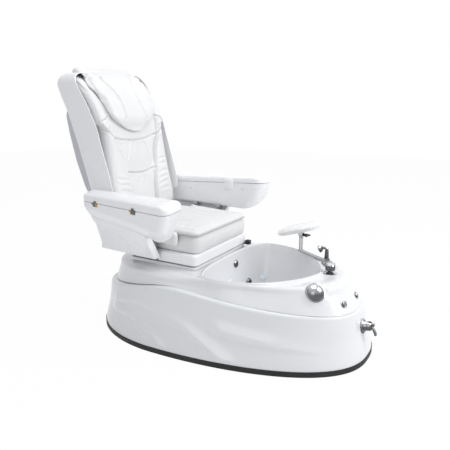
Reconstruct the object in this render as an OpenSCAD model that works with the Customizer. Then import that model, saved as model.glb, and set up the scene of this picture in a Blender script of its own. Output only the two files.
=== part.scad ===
// Pedicure spa chair: foot-bath base with jets and mixer, sliding massage seat,
// flared storage armrests, reclining massage back and an adjustable footrest.
// +Z is up, the chair faces -Y, the origin lies under the middle on the floor.

/* [Base] */
// Half of the base's greatest width
base_half = 481; // [470:1:495]
// Distance from the widest section to the front end of the base
base_front = 983; // [960:1:1000]
// Distance from the widest section to the rear end of the base
base_rear = 537; // [520:1:560]
// Y of the widest section
base_wide_y = 160; // [120:5:200]
// Height of the rubber trim round the foot
trim_h = 28; // [24:1:32]
// Thickness of each lip of the rubber trim
trim_lip = 3; // [2:0.5:4]
// Wall of the moulded skirt
skirt_wall = 5; // [4:0.5:8]
// Height of the ledge at its highest point
ledge_top = 337; // [320:1:345]
// Depth of the ledge round the skirt's top
ledge_step = 18; // [12:1:24]
// How far the skirt leans in for each millimetre of height
skirt_lean = 0.115; // [0.08:0.005:0.13]
// How far a moulded wave stands out of the skirt
wave_rise = 10; // [0:1:14]

/* [Foot bath] */
// Half of the basin's greatest width
basin_half = 350; // [320:1:360]
// Y of the basin's widest section
basin_wide_y = -150; // [-170:5:-130]
// Distance from that section to the basin's front tip
basin_front = 402; // [370:1:410]
// Distance from that section to the basin's rear wall
basin_rear = 125; // [115:1:130]
// Height of the rim
rim_z = 403; // [398:1:415]
// Height of the basin's floor
basin_floor = 150; // [140:1:180]
// Wall of the tub
tub_wall = 5; // [4:0.5:7]
// Height of the deck's outer edge
deck_edge = 368; // [362:1:374]
// Height of the flat part of the deck
deck_z = 391; // [388:1:393]

/* [Seat] */
// Half width of the seat tray
tray_half = 279; // [270:1:285]
// Depth of the seat tray, front to back
tray_len = 445; // [420:1:460]
// Height of the tray's lower edge
tray_low = 417; // [415:1:420]
// Height of the tray's top plate
tray_top = 474; // [470:1:480]
// Sheet thickness of the tray
tray_sheet = 4; // [3:0.5:6]
// Height of the plinth's top
plinth_top = 408; // [404:1:410]
// Half width of the seat cushions
seat_half = 266; // [255:1:268]
// Thickness of the lower seat cushion
seat_block = 93; // [85:1:98]
// Thickness of the upper seat pad
seat_pad_t = 26; // [20:1:30]

/* [Armrests] */
// Half width across the outer faces, projected to Y = 0
arm_outer = 552; // [540:1:565]
// Half width across the inner faces, projected to Y = 0
arm_inner = 400; // [390:1:410]
// Outward flare of the outer faces per millimetre of length
arm_flare = 0.215; // [0.19:0.005:0.23]
// Outward flare of the inner faces per millimetre of length
arm_flare_in = 0.152; // [0.14:0.002:0.156]
// Y of the armrests' front ends
arm_front = -28; // [-45:1:-10]
// Y of the armrests' rear ends
arm_rear = 602; // [590:1:606]
// Height of the lid's seam above Y = 0
seam_z = 738; // [730:1:745]
// Thickness of the lid
lid_t = 44; // [38:1:50]
// Wall of the armrest mouldings
arm_wall = 4; // [3:0.5:6]

/* [Backrest] */
// Half width of the back shell
back_half = 298; // [285:1:299]
// Height of the back shell's top
back_top = 1378; // [1360:1:1390]
// Height of the back shell's lower edge
back_low = 640; // [630:1:650]
// Wall of the back shell
back_wall = 5; // [4:0.5:7]
// Y of the recline hinge
hinge_y = 528; // [520:1:534]
// Height of the recline hinge
hinge_z = 562; // [556:1:568]
// Diameter of the recline hinge's pins
hinge_pin = 16; // [12:1:20]

/* [Fittings] */
// Diameter of the big waterfall-and-drain knob
dome_d = 84; // [70:1:90]
// Diameter of the fluted tap knob
flute_d = 50; // [44:1:56]
// Diameter of an air button
button_d = 24; // [18:1:26]
// Travel of an air button
button_travel = 4; // [3:0.5:5]
// Length of the footrest pad
pad_len = 270; // [240:1:290]
// Width of the footrest pad
pad_w = 190; // [170:1:200]
// Diameter of the footrest post
post_d = 22; // [19:1:25]
// Tilt of the footrest pad
pad_tilt = 17; // [10:1:20]

/* [Hidden] */

$fn = 48;
gap = 0.3;            // seat clearance between pieces that lie on each other
run = 0.05;           // running clearance of a pin in its bore
middle_y = -24;       // moves the whole so that its outline is centred on the origin
ring_n = 56;          // points round the base
egg_power = 0.8;      // fullness of the base's outline
white = "white";
steel = "silver";
dark = "#222222";

// ---- general helpers ----

function mix(a, b, f) = a + (b - a) * f;
function clamp(v) = min(1, max(0, v));
function smooth(v) = let (c = clamp(v)) c * c * (3 - 2 * c);
function spow(v, e) = sign(v) * pow(abs(v), e);
function mean_of(points, k) = let (n = len(points)) sum_of([for (p = points) p[k]]) / n;
function sum_of(v, i = 0) = i < len(v) ? v[i] + sum_of(v, i + 1) : 0;
function centre(points) = [for (k = [0:2]) mean_of(points, k)];

// Skin over rings of points; the ends are closed, or joined where loop is true
module skin(rings, loop = false, flip = false) {
    n = len(rings[0]);
    m = len(rings);
    last = loop ? m - 1 : m - 2;
    sides = [for (j = [0:last], i = [0:n - 1])
        let (a = j * n + i, b = j * n + (i + 1) % n)
        let (c = ((j + 1) % m) * n + (i + 1) % n, d = ((j + 1) % m) * n + i)
        each [[a, c, b], [a, d, c]]];
    caps = loop ? [] : [for (i = [0:n - 1])
        let (k = (i + 1) % n)
        each [[n * m, i, k], [n * m + 1, (m - 1) * n + k, (m - 1) * n + i]]];
    ends = loop ? [] : [centre(rings[0]), centre(rings[m - 1])];
    faces = concat(sides, caps);
    points = concat([for (r = rings) each r], ends);
    turned = flip ? [for (f = faces) [f[0], f[2], f[1]]] : faces;
    polyhedron(points, turned);
}

module mirrored() {
    children();
    mirror([1, 0, 0]) children();
}

module rounded_plate(half, y0, y1, r, h) {
    linear_extrude(h)
        hull_rect(half, y0, y1, r);
}

// Rectangle with round corners, made of exact pieces
module hull_rect(half, y0, y1, r) {
    union() {
        translate([-half + r, y0]) square([2 * (half - r), y1 - y0]);
        translate([-half, y0 + r]) square([2 * half, y1 - y0 - 2 * r]);
        for (x = [-half + r, half - r], y = [y0 + r, y1 - r])
            translate([x, y]) circle(r);
    }
}

function unit(v) = v / norm(v);

// Round bar of radius r that bends at each point
module bent_tube(points, r) {
    n = len(points);
    dirs = [for (k = [0:n - 2]) unit(points[k + 1] - points[k])];
    skin([for (k = [0:n - 1])
        let (t = unit(dirs[max(k - 1, 0)] + dirs[min(k, n - 2)]))
        let (u = unit(cross([0.02, 0, 1], t)), v = cross(t, u))
        [for (a = [0:30:330]) points[k] + r * (cos(a) * u + sin(a) * v)]]);
}

// ---- outlines of the base and the basin ----

ledge_peak_y = 70;    // where the ledge is highest
ledge_drift = 0.034;  // difference between its front and rear slopes
ledge_fall = 0.134;   // mean slope of the ledge
ledge_round = 80;     // half length of its rounded peak
front_lean = 0.05;    // extra lean of the skirt at the front
floor_gap = trim_h / 4 + gap;

// Point of the base's egg outline at angle t, drawn in by i
function egg(t, i) =
    let (c = cos(t), s = sin(t))
    [(base_half - i) * spow(c, egg_power),
     base_wide_y + ((s >= 0 ? base_rear : base_front) - i) * s];

// Point of the basin's outline, pointed to the front and squarer at the rear
function basin(t, i) =
    let (c = cos(t), s = sin(t))
    s >= 0
        ? [(basin_half - i) * spow(c, 2 / 3), basin_wide_y + (basin_rear - 0.35 * i) * pow(s, 2 / 3)]
        : [(basin_half - i) * spow(c, 4 / 3), basin_wide_y + (basin_front - i) * s];

function at_z(p, z) = [p[0], p[1], z];
function angles(n) = [for (k = [0:n - 1]) 360 * k / n];

// 0 along the sides and the rear, 1 at the front end
function front_share(t) = smooth((-egg(t, 0)[1] - 450) / 300);
function lean_at(t) = skirt_lean + front_lean * front_share(t);
function ledge_z(t) =
    let (d = egg(t, 0)[1] - ledge_peak_y)
    ledge_top - ledge_drift * d - ledge_fall * (sqrt(d * d + ledge_round * ledge_round) - ledge_round);
foot_flare = 13;      // how far the foot of the skirt spreads
function skirt_in(t, z) = trim_lip + gap + lean_at(t) * max(0, z - trim_h)
    + foot_flare * smooth((z - trim_h) / 130);
function ledge_in(t) = skirt_in(t, ledge_z(t));
function step_in(t) = ledge_step * (1 - 0.8 * front_share(t));

// Moulded waves: each has a crest line z(y), sharper below than above
function crest(d) = exp(-pow(d / (d > 0 ? 36 : 18), 2));
function wave_b(y) = 247 - (y < 250 ? 0.0098 * pow(250 - y, 1.6) : 0.23 * (y - 250));
function wave_c(y) = 157 - (y < 350 ? 0.00056 * pow(350 - y, 2.2) : 0.05 * (y - 350));
function wave_d(y) = 214 + 0.142 * y;
function wave(t, z) =
    let (y = egg(t, 0)[1], rear_fade = smooth((520 - y) / 90))
    let (front_fade = smooth((-150 - y) / 90) * (1 - front_share(t)))
    let (foot_fade = smooth((z - trim_h) / 30), top_fade = smooth((ledge_z(t) - z) / 30))
    wave_rise * foot_fade * top_fade * max(rear_fade * crest(z - wave_b(y)),
        rear_fade * crest(z - wave_c(y)), front_fade * crest(z - wave_d(y)));

// ---- skirt and trim ----

row_gap = 4;          // least distance between two rows of points

// Heights of the skirt's rows at angle t: they follow the crests of the waves
function row_wish(t) =
    let (y = egg(t, 0)[1])
    concat([trim_h], [for (w = [wave_c(y), wave_b(y), wave_d(y)], k = [-18, 0, 34]) w + k],
        [ledge_z(t) - 30, ledge_z(t) - 10]);
function stack_up(v, k) = k == 0 ? [v[0]]
    : let (below = stack_up(v, k - 1)) concat(below, [max(v[k], below[k - 1] + row_gap)]);
function skirt_heights(t) =
    let (v = stack_up(row_wish(t), 11), top = ledge_z(t) - 10)
    [for (k = [0:11]) min(v[k], top - row_gap * (11 - k))];

module skirt_shell() {
    heights = [for (t = angles(ring_n)) skirt_heights(t)];
    outer = [for (j = [0:11])
        [for (i = [0:ring_n - 1])
            let (t = 360 * i / ring_n, z = heights[i][j])
            at_z(egg(t, skirt_in(t, z) - wave(t, z)), z)]];
    foot = [[for (t = angles(ring_n)) at_z(egg(t, trim_lip + gap), floor_gap)]];
    ledge = [for (k = [[1.5, -3], [6, 0], [14, 0.5]])
        [for (t = angles(ring_n)) at_z(egg(t, ledge_in(t) + k[0]), ledge_z(t) + k[1])]];
    flange = [for (k = [[24, 0.5], [24, -skirt_wall]])
        [for (t = angles(ring_n))
            at_z(egg(t, ledge_in(t) + step_in(t) + k[0]), ledge_z(t) + k[1])]];
    inner_top = [[for (t = angles(ring_n))
        at_z(egg(t, ledge_in(t) + skirt_wall + 5), ledge_z(t) - skirt_wall - 8)]];
    inner = [for (z = [150, trim_h])
        [for (t = angles(ring_n)) at_z(egg(t, skirt_in(t, z) + skirt_wall), z)]];
    inner_foot = [[for (t = angles(ring_n))
        at_z(egg(t, trim_lip + gap + skirt_wall), floor_gap)]];
    skin(concat(foot, outer, ledge, flange, inner_top, inner, inner_foot), loop = true);
}

panel_half = 150;     // half width of the rear access panel
panel_low = 60;
panel_high = 205;

module panel_block(clear) {
    translate([-panel_half + clear, base_wide_y + base_rear / 2, panel_low + clear])
        cube([2 * (panel_half - clear), base_rear, panel_high - panel_low - 2 * clear]);
}

module skirt() {
    color(white) difference() {
        skirt_shell();
        panel_block(0);
    }
}

module access_panel() {
    color(white) intersection() {
        skirt_shell();
        panel_block(0.8);
    }
}

module base_trim() {
    inner = trim_lip + skirt_wall + 2 * gap;
    slot = trim_h / 4;
    profile = [[0, 2], [0, trim_h - 2], [1, trim_h], [trim_lip, trim_h], [trim_lip, slot],
               [inner, slot], [inner, trim_h], [inner + trim_lip, trim_h],
               [inner + trim_lip, 0], [1.5, 0]];
    color(dark) skin([for (p = profile)
        [for (t = angles(ring_n)) at_z(egg(t, p[0]), p[1])]], loop = true);
}

// ---- tub: deck and basin in one moulding ----

deck_in = 102;        // inset of the deck's outer edge
deck_in_front = 26;   // further inset of that edge at the front
rim_w = 34;           // width of the rounded rim
shoulder_w = 16;      // least distance from the rim's inner edge to the deck's edge
tub_foot_in = 6;      // the tub's wall stands this far inside the ledge

function deck_inset(t) = deck_in + deck_in_front * front_share(t);
function foot_inset(t) = ledge_in(t) + step_in(t) + tub_foot_in;

// Direction of a point seen from the middle of the basin
function way(p) = atan2(p[1] - basin_wide_y, abs(p[0]));
function reach(p) = norm([p[0], p[1] - basin_wide_y]);

// Parameter of the base's or the basin's outline in direction a
function seek(a, on_base, lo, hi, n) =
    let (m = (lo + hi) / 2, p = on_base ? egg(m, deck_in) : basin(m, 0))
    n == 0 ? m : way(p) < a ? seek(a, on_base, m, hi, n - 1) : seek(a, on_base, lo, m, n - 1);
function seek_round(a, on_base) =
    a <= 90 ? seek(a, on_base, -90, 90, 16)
    : a < 270 ? 180 - seek(180 - a, on_base, -90, 90, 16)
    : 360 + seek(a - 360, on_base, -90, 90, 16);

tub_n = 60;
tub_ways = [for (k = [0:tub_n - 1]) 360 * k / tub_n];
tub_base = [for (a = tub_ways) seek_round(a, true)];
tub_bowl = [for (a = tub_ways) seek_round(a, false)];

function out_to(a, r, z) = [r * cos(a), basin_wide_y + r * sin(a), z];
function rim_reach(k) = reach(basin(tub_bowl[k], 0));
function edge_reach(k) = max(reach(egg(tub_base[k], deck_inset(tub_base[k]))), rim_reach(k) + shoulder_w);
function rim_share(k) = min(rim_w, 0.6 * (edge_reach(k) - rim_reach(k))) / rim_w;
function foot_reach(k) = reach(egg(tub_base[k], foot_inset(tub_base[k])));

// Rings of the bowl, the rim, the deck and the wall; w goes in from the surface
function bowl_ring(i, z) = [for (t = tub_bowl) at_z(basin(t, i), z)];
function rim_ring(i, z) = [for (k = [0:tub_n - 1]) out_to(tub_ways[k], rim_reach(k) + i * rim_share(k), z)];
function deck_ring(f, z, w) = [for (k = [0:tub_n - 1])
    out_to(tub_ways[k], mix(rim_reach(k) + rim_w * rim_share(k), edge_reach(k), f) - w, z)];
function wall_ring(f, w) = [for (k = [0:tub_n - 1])
    let (foot = ledge_z(tub_base[k]) + 1.6)
    out_to(tub_ways[k], mix(edge_reach(k) + 3, foot_reach(k), f) - w, mix(deck_edge - 10, foot, f))];

module tub_skin() {
    w = tub_wall;
    bowl = [for (k = [[175, 0], [128, 0], [92, 12], [70, 44]]) bowl_ring(k[0], basin_floor + k[1])];
    rim = [for (k = [[36, -130], [12, -58], [3, -14], [0, -4]]) bowl_ring(k[0], rim_z + k[1])];
    rim_top = [for (k = [[8, 0], [17, -3]]) rim_ring(k[0], rim_z + k[1])];
    deck = [deck_ring(0, deck_z, 0), deck_ring(0.8, deck_z, 0),
            deck_ring(0.93, mix(deck_edge, deck_z, 0.45), 0), deck_ring(1, deck_edge, 0)];
    wall = [for (f = [0.12, 0.5, 1]) wall_ring(f, 0)];
    wall_in = [for (f = [1, 0.12]) wall_ring(f, w)];
    deck_under = [deck_ring(0.93, mix(deck_edge, deck_z, 0.45) - w, w), deck_ring(0.8, deck_z - w, w),
                  deck_ring(0, deck_z - w, w * 0.6)];
    bowl_under = [for (k = [[12 - w, rim_z - 58], [36 - w, rim_z - 130], [68 - w, basin_floor + 40],
                            [90 - w, basin_floor + 12 - w], [126, basin_floor - w],
                            [175, basin_floor - w]])
        bowl_ring(k[0], k[1])];
    skin(concat(bowl, rim, rim_top, deck, wall, wall_in, deck_under, bowl_under), flip = true);
}

// Places a piece at point p with its Z along n
module aim(p, n) {
    translate(p)
        rotate([0, acos(n[2] / norm(n)), atan2(n[1], n[0])])
            children();
}

// Places and directions of the fittings
jet_spots = [[85, -31.6, 336], [189.8, -62.1, 200.2], [-189.8, -62.1, 200.2]];
jet_ways = [[-0.024, -0.994, 0.107], [-0.209, -0.952, 0.222], [0.209, -0.952, 0.222]];
suction_spot = [0, -43.8, 234];
suction_way = [0, -0.989, 0.149];
light_spot = [277.5, -111.1, 211.1];
light_way = [-0.828, -0.42, 0.372];
drain_y = -300;
dome_spot = [-188.2, -602.1, 367.2];
dome_way = [-0.6, -0.53, 0.6];
tap_spot = [46, -592, deck_z];
socket_spot = [222, -512, deck_z];
pivot_spot = [152, -549, deck_z];
button_spots = [[-103.2, -714.4, 303.2], [43.1, -730.3, 300.7]];
button_ways = [[-0.365, -0.803, 0.472], [0.053, -0.881, 0.47]];
mixer_z = 167.4;
mixer_y = -784.9;
mixer_lean = 10.2;
jet_bore = 30;
shank_bore = 22;
stem_bore = 14;       // bore for an air button's stem
button_bore = button_d + 6;   // hole in the deck for a button's bezel
suction_bore = 40;

module tub_holes() {
    for (k = [0:2]) aim(jet_spots[k], jet_ways[k])
        translate([0, 0, -25]) cylinder(d = jet_bore, h = 50);
    aim(light_spot, light_way) translate([0, 0, -20]) cylinder(d = 24, h = 40);
    translate([0, drain_y, basin_floor - 20]) cylinder(d = 52, h = 40);
    aim(dome_spot, dome_way) translate([0, 0, -25]) cylinder(d = shank_bore, h = 40);
    for (p = [tap_spot, socket_spot, pivot_spot])
        translate(p + [0, 0, -20]) cylinder(d = shank_bore, h = 40);
    for (k = [0, 1]) aim(button_spots[k], button_ways[k])
        translate([0, 0, -25]) cylinder(d = button_bore, h = 50);
    aim(suction_spot, suction_way) translate([0, 0, -25]) cylinder(d = suction_bore, h = 50);
}

// Flat moulded seats under the fittings: place, direction, diameter and depth
seats = [[dome_spot, dome_way, dome_d + 14, 12], [tap_spot, [0, 0, 1], 70, 7],
         [socket_spot, [0, 0, 1], 50, 7], [pivot_spot, [0, 0, 1], 52, 7],
         [button_spots[0], button_ways[0], button_bore + 10, 8],
         [button_spots[1], button_ways[1], button_bore + 10, 8]];

module tub() {
    color(white) difference() {
        union() {
            tub_skin();
            difference() {
                for (s = seats) aim(s[0], s[1]) translate([0, 0, -s[3]]) cylinder(d = s[2], h = s[3]);
                translate([0, 0, 1]) skirt_shell();
            }
        }
        for (s = seats) aim(s[0], s[1]) cylinder(d = s[2], h = 30);
        tub_holes();
    }
}

// ---- frame, feet, plinth and rails ----

rail_x = 170;         // centre of each slide rail
frame_x = 200;        // centre of each long frame tube
tube_s = 40;          // side of the frame's square tube
tube_wall = 2.5;
frame_z = 52;         // underside of the long tubes
frame_y0 = -430;
frame_y1 = 560;
bar_s = 30;           // side of the cross bars
bar_ys = [-410, -160, 60, 150, 250, 310, 370, 500];
post_ys = [40, 350];
basin_ys = [-410, -160];  // bars that carry the basin
foot_ys = [-400, 60, 520];
foot_r = 20;

// Square tube along Y
module long_tube(x, y0, y1, z, s) {
    translate([x - s / 2, y0, z]) difference() {
        cube([s, y1 - y0, s]);
        translate([tube_wall, -1, tube_wall])
            cube([s - 2 * tube_wall, y1 - y0 + 2, s - 2 * tube_wall]);
    }
}

module base_frame() {
    color(steel) {
        for (x = [-frame_x, frame_x]) {
            long_tube(x, frame_y0, frame_y1, frame_z, tube_s);
        }
        for (y = bar_ys) translate([-frame_x + tube_s / 2, y - bar_s / 2, frame_z + tube_s - bar_s])
            cube([2 * frame_x - tube_s, bar_s, bar_s]);
    }
}

post_pad = 6;         // thickness of a post's top pad

// Posts that carry the deck, and blocks under the basin, all on the frame
module frame_posts() {
    low = frame_z + tube_s + gap;
    top = deck_z - tub_wall - gap - post_pad;
    color(steel) {
        for (x = [-frame_x, frame_x], y = post_ys) {
            translate([x - bar_s / 2, y - bar_s / 2, low]) cube([bar_s, bar_s, top - low]);
            translate([x - bar_s, y - bar_s, top]) cube([2 * bar_s, 2 * bar_s, post_pad]);
        }
        for (y = basin_ys) translate([-bar_s, y - bar_s / 2, low])
            cube([2 * bar_s, bar_s, basin_floor - tub_wall - gap - low]);
    }
}

module levelling_feet() {
    color(dark) for (x = [-frame_x, frame_x], y = foot_ys) translate([x, y, 0]) {
        cylinder(r = foot_r, h = 10);
        translate([0, 0, 10]) cylinder(r1 = foot_r, r2 = 9, h = 8);
        translate([0, 0, 18]) cylinder(d = 12, h = frame_z - 18 - gap);
    }
}

screw_xs = [-135, 135];

module panel_screws() {
    color(steel) for (x = screw_xs, z = [75, 190]) {
        t = acos(pow(abs(x) / (base_half - 25), 1 / egg_power));
        y = egg(t, skirt_in(90, z))[1];
        translate([x, y + 1.4, z]) rotate([-90, 0, x > 0 ? -8 : 8]) {
            cylinder(d = 11, h = 3);
        }
    }
}

module seat_plinth() {
    low = deck_z + gap;
    color(white) difference() {
        translate([0, 0, low]) rounded_plate(tray_half - 4, 10, 432, 22, plinth_top - low);
        translate([-120, 80, low - 1]) cube([240, 260, plinth_top - low + 2]);
        for (x = [-rail_x, rail_x]) translate([x - rail_w / 2 - gap, slide_y0 - gap, low - 1])
            cube([rail_w + 2 * gap, slide_len + 30, plinth_top - low + 2]);
    }
}

rail_w = 44;
slide_y0 = 20;
slide_len = 400;
rail_low = deck_z + gap;
rail_h = tray_low - 2 * gap - rail_low;
rail_sheet = 2.5;
runner_w = 24;
runner_y0 = 160;
runner_len = 255;

// Fixed C rails, open at the top, let into the plinth
module slide_rails() {
    color(steel) for (x = [-rail_x, rail_x]) translate([x, slide_y0, rail_low]) difference() {
        translate([-rail_w / 2, 0, 0]) cube([rail_w, slide_len, rail_h]);
        translate([-rail_w / 2 + rail_sheet, -1, rail_sheet])
            cube([rail_w - 2 * rail_sheet, slide_len + 2, rail_h - 2 * rail_sheet]);
        translate([-runner_w / 2 - 1, -1, rail_h - 2 * rail_sheet])
            cube([runner_w + 2, slide_len + 2, 3 * rail_sheet]);
    }
}

// Runners that slide in the rails and carry the seat
module seat_runners() {
    z = rail_low + rail_sheet + run * 4;
    color(steel) for (x = [-rail_x, rail_x]) {
        translate([x - runner_w / 2, runner_y0, z]) cube([runner_w, runner_len, frame_low + 2 - z]);
        translate([x - rail_w / 2 + rail_sheet + 0.5, runner_y0, z])
            cube([rail_w - 2 * rail_sheet - 1, runner_len, 12]);
    }
}

// ---- plumbing under the deck ----

pump_spot = [60, 190, frame_z + tube_s + gap];

module jet_pump() {
    color(dark) translate(pump_spot) {
        translate([-40, -70, 0]) cube([80, 160, 8]);
        translate([0, 90, 78]) rotate([90, 0, 0]) cylinder(d = 116, h = 150);
        translate([0, -60, 78]) rotate([90, 0, 0]) cylinder(d = 128, h = 46);
        translate([-20, -60, 8]) cube([40, 140, 40]);
    }
}

pipe_r = 10;
manifold_spot = [120, 60, 230];

module pipes() {
    back = 36;
    ends = [for (k = [0:2]) jet_spots[k] - jet_ways[k] * back];
    hub = pump_spot + [0, -107, 78];
    color("gainsboro") {
        translate(manifold_spot - [18, 18, 18]) cube(36);
        bent_tube([hub + [0, 1, 0], hub + [0, -30, 0], hub + [16, -44, 20], manifold_spot], pipe_r);
        bent_tube([manifold_spot, manifold_spot + [0, -12, 60], [ends[0][0], 22, 332], ends[0]], pipe_r);
        bent_tube([manifold_spot, [160, 20, 214], ends[1] + [0, 26, -6], ends[1]], pipe_r);
        bent_tube([manifold_spot, [60, 62, 224], [-140, 44, 210], ends[2] + [0, 26, -6], ends[2]], pipe_r);
    }
}

module jets() {
    color(steel) for (k = [0:2]) aim(jet_spots[k], jet_ways[k]) difference() {
        union() {
            cylinder(d = 44, h = 3);
            translate([0, 0, 3]) cylinder(d1 = 40, d2 = 30, h = 4);
            translate([0, 0, -33]) cylinder(d = jet_bore - 1, h = 35);
        }
        translate([0, 0, -10]) cylinder(d = 12, h = 30);
    }
}

module basin_light() {
    color("lightcyan") aim(light_spot, light_way) {
        cylinder(d = 34, h = 3);
        translate([0, 0, -16]) cylinder(d = 22, h = 18);
    }
}

// Intake grille of the pump, on the basin's rear wall near the floor
module suction_cover() {
    color(steel) aim(suction_spot, suction_way) difference() {
        union() {
            translate([0, 0, gap]) cylinder(d = 76, h = 4);
            translate([0, 0, 4 + gap]) cylinder(d1 = 73, d2 = 62, h = 5);
            translate([0, 0, -16]) cylinder(d = 39, h = 18);
        }
        for (a = [0:45:315]) rotate(a) translate([24, 0, 6]) cylinder(d = 8, h = 6);
        translate([0, 0, 6]) cylinder(d = 10, h = 6);
    }
}

plug_d = 40;
waste_len = 105;      // length of the waste pipe

module drain_body() {
    z = basin_floor;
    color(steel) translate([0, drain_y, 0]) {
        translate([0, 0, z + gap]) difference() {
            cylinder(d = 70, h = 3);
            translate([0, 0, -1]) cylinder(d = plug_d + 1, h = 6);
        }
        difference() {
            translate([0, 0, frame_z + 32]) cylinder(d = 50, h = z + 1.5 - frame_z - 32);
            translate([0, 0, frame_z + 37]) cylinder(d = plug_d + 1, h = 120);
        }
        translate([0, 0, frame_z + 50]) difference() {
            cylinder(d = plug_d + 4, h = 5);
            translate([0, 0, -1]) cylinder(d = 8 + 2 * run, h = 7);
            for (a = [0:90:270]) rotate(a) translate([13, 0, -1]) cylinder(d = 7, h = 7);
        }
        translate([0, 0, frame_z + 20]) cylinder(d = 40, h = 14);
        translate([0, 0, frame_z + 20]) rotate([-90, 0, 0]) cylinder(d = 36, h = waste_len);
    }
}

module drain_plug() {
    z = basin_floor;
    color(steel) translate([0, drain_y, 0]) {
        translate([0, 0, z]) cylinder(d1 = plug_d, d2 = plug_d - 3, h = 5);
        translate([0, 0, frame_z + 38]) cylinder(d = 8, h = z - frame_z - 37);
    }
}

module control_box() {
    color("gray") translate([-172, 290, frame_z + tube_s + gap]) {
        cube([150, 110, 60]);
        translate([10, 10, 60]) cube([130, 90, 4]);
    }
}

// ---- front mixer ----

module mixer_place() {
    translate([0, mixer_y, mixer_z]) rotate([90 - mixer_lean, 0, 0]) children();
}

module mixer_body() {
    color(steel) mixer_place() {
        cylinder(d = 72, h = 5);
        translate([0, 0, 5]) cylinder(d1 = 70, d2 = 60, h = 4.2);
        translate([0, 0, 9.2]) difference() {
            cylinder(d = 46, h = 14);
            translate([0, 0, 2]) cylinder(d = 20 + 2 * run, h = 14);
        }
    }
}

cap_z = 24;           // where the turning cap starts, from the skirt

module mixer_cap() {
    color(steel) mixer_place() translate([0, 0, cap_z]) difference() {
        union() {
            cylinder(d = 46, h = 12);
            translate([0, 0, 12]) cylinder(d1 = 46, d2 = 36, h = 8);
            translate([0, 0, -12]) cylinder(d = 20, h = 12);
        }
        translate([-9, -8, 4]) cube([18, 40, 20]);
    }
}

lever_r = 62;         // radius of the lever's arch

// Lever handle: an arched flat bar that hangs forward from the cap
module mixer_lever() {
    color(steel) mixer_place() translate([0, 0, cap_z + 12]) {
        rotate([0, 90, 0]) translate([0, 0, -8.5]) cylinder(d = 12, h = 17);
        rotate([0, -90, 0]) translate([0, 0, -8.5]) linear_extrude(17) intersection() {
            difference() {
                translate([-lever_r + 26, -44]) circle(r = lever_r);
                translate([-lever_r + 22, -47]) circle(r = lever_r - 5);
            }
            polygon([[-1, 16], [32, 30], [70, 10], [56, -46], [14, -46], [10, -7.6], [-1, -7.6]]);
        }
        translate([-8.5, 0, -3]) cube([17, 14, 24]);
    }
}

// ---- fittings on the deck ----

dome_high = 26;       // height of the dome over its bezel

module deck_bezels() {
    color(steel) {
        aim(dome_spot, dome_way) difference() {
            union() {
                translate([0, 0, gap]) cylinder(d = dome_d + 10, h = 4);
                translate([0, 0, -20]) cylinder(d = shank_bore - 1, h = 24);
            }
            translate([0, 0, -21]) cylinder(d = 12 + 2 * run, h = 30);
        }
        translate(tap_spot + [0, 0, gap]) difference() {
            union() {
                cylinder(d = 66, h = 3);
                translate([0, 0, 3]) cylinder(d1 = 62, d2 = 34, h = 4);
                translate([0, 0, -18]) cylinder(d = shank_bore - 1, h = 18);
            }
            translate([0, 0, -19]) cylinder(d = 10 + 2 * run, h = 30);
        }
        for (k = [0, 1]) aim(button_spots[k], button_ways[k]) difference() {
            union() {
                translate([0, 0, gap]) cylinder(d = button_bore + 6, h = 3);
                translate([0, 0, -18]) cylinder(d = button_bore - 1, h = 20);
            }
            translate([0, 0, -19]) cylinder(d = stem_bore + 2 * run, h = 30);
            translate([0, 0, -button_travel - 1]) cylinder(d = button_d + 2 * run, h = 20);
        }
    }
}

// Low dome that turns in its bezel
module dome_knob() {
    rr = (dome_d * dome_d / 4 + dome_high * dome_high) / (2 * dome_high);
    color(steel) aim(dome_spot, dome_way) {
        translate([0, 0, -15]) cylinder(d = 12, h = 24);
        translate([0, 0, 4.6]) cylinder(d = dome_d, h = 3);
        translate([0, 0, 7.6 + dome_high - rr]) difference() {
            sphere(r = rr);
            translate([-rr, -rr, -rr - 1]) cube([2 * rr, 2 * rr, 2 * rr - dome_high + 1]);
        }
    }
}

flutes = 10;

module fluted_knob() {
    color(steel) translate(tap_spot) {
        translate([0, 0, -14]) cylinder(d = 10, h = 30);
        translate([0, 0, 7.6]) cylinder(d1 = 22, d2 = 30, h = 10);
        translate([0, 0, 17]) difference() {
            union() {
                cylinder(d = flute_d, h = 24);
                translate([0, 0, 24]) cylinder(d1 = flute_d, d2 = flute_d - 16, h = 8);
            }
            for (k = [0:flutes - 1]) rotate(360 * k / flutes)
                translate([flute_d / 2 + 2, 0, -1]) cylinder(d = 10, h = 40);
        }
    }
}

module air_button(k) {
    color(steel) aim(button_spots[k], button_ways[k]) {
        cylinder(d = button_d, h = 2 + button_travel);
        translate([0, 0, 2 + button_travel]) cylinder(d1 = button_d, d2 = button_d - 5, h = 2);
        translate([0, 0, -7]) cylinder(d = stem_bore, h = 8);
    }
}

socket_h = 18;

module shower_socket() {
    color(steel) translate(socket_spot + [0, 0, gap]) difference() {
        union() {
            cylinder(d = 46, h = 3);
            cylinder(d1 = 38, d2 = 32, h = socket_h);
            translate([0, 0, -24]) cylinder(d = shank_bore - 1, h = 24);
        }
        translate([0, 0, -25]) cylinder(d = 16 + 2 * run, h = 60);
    }
}

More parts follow.
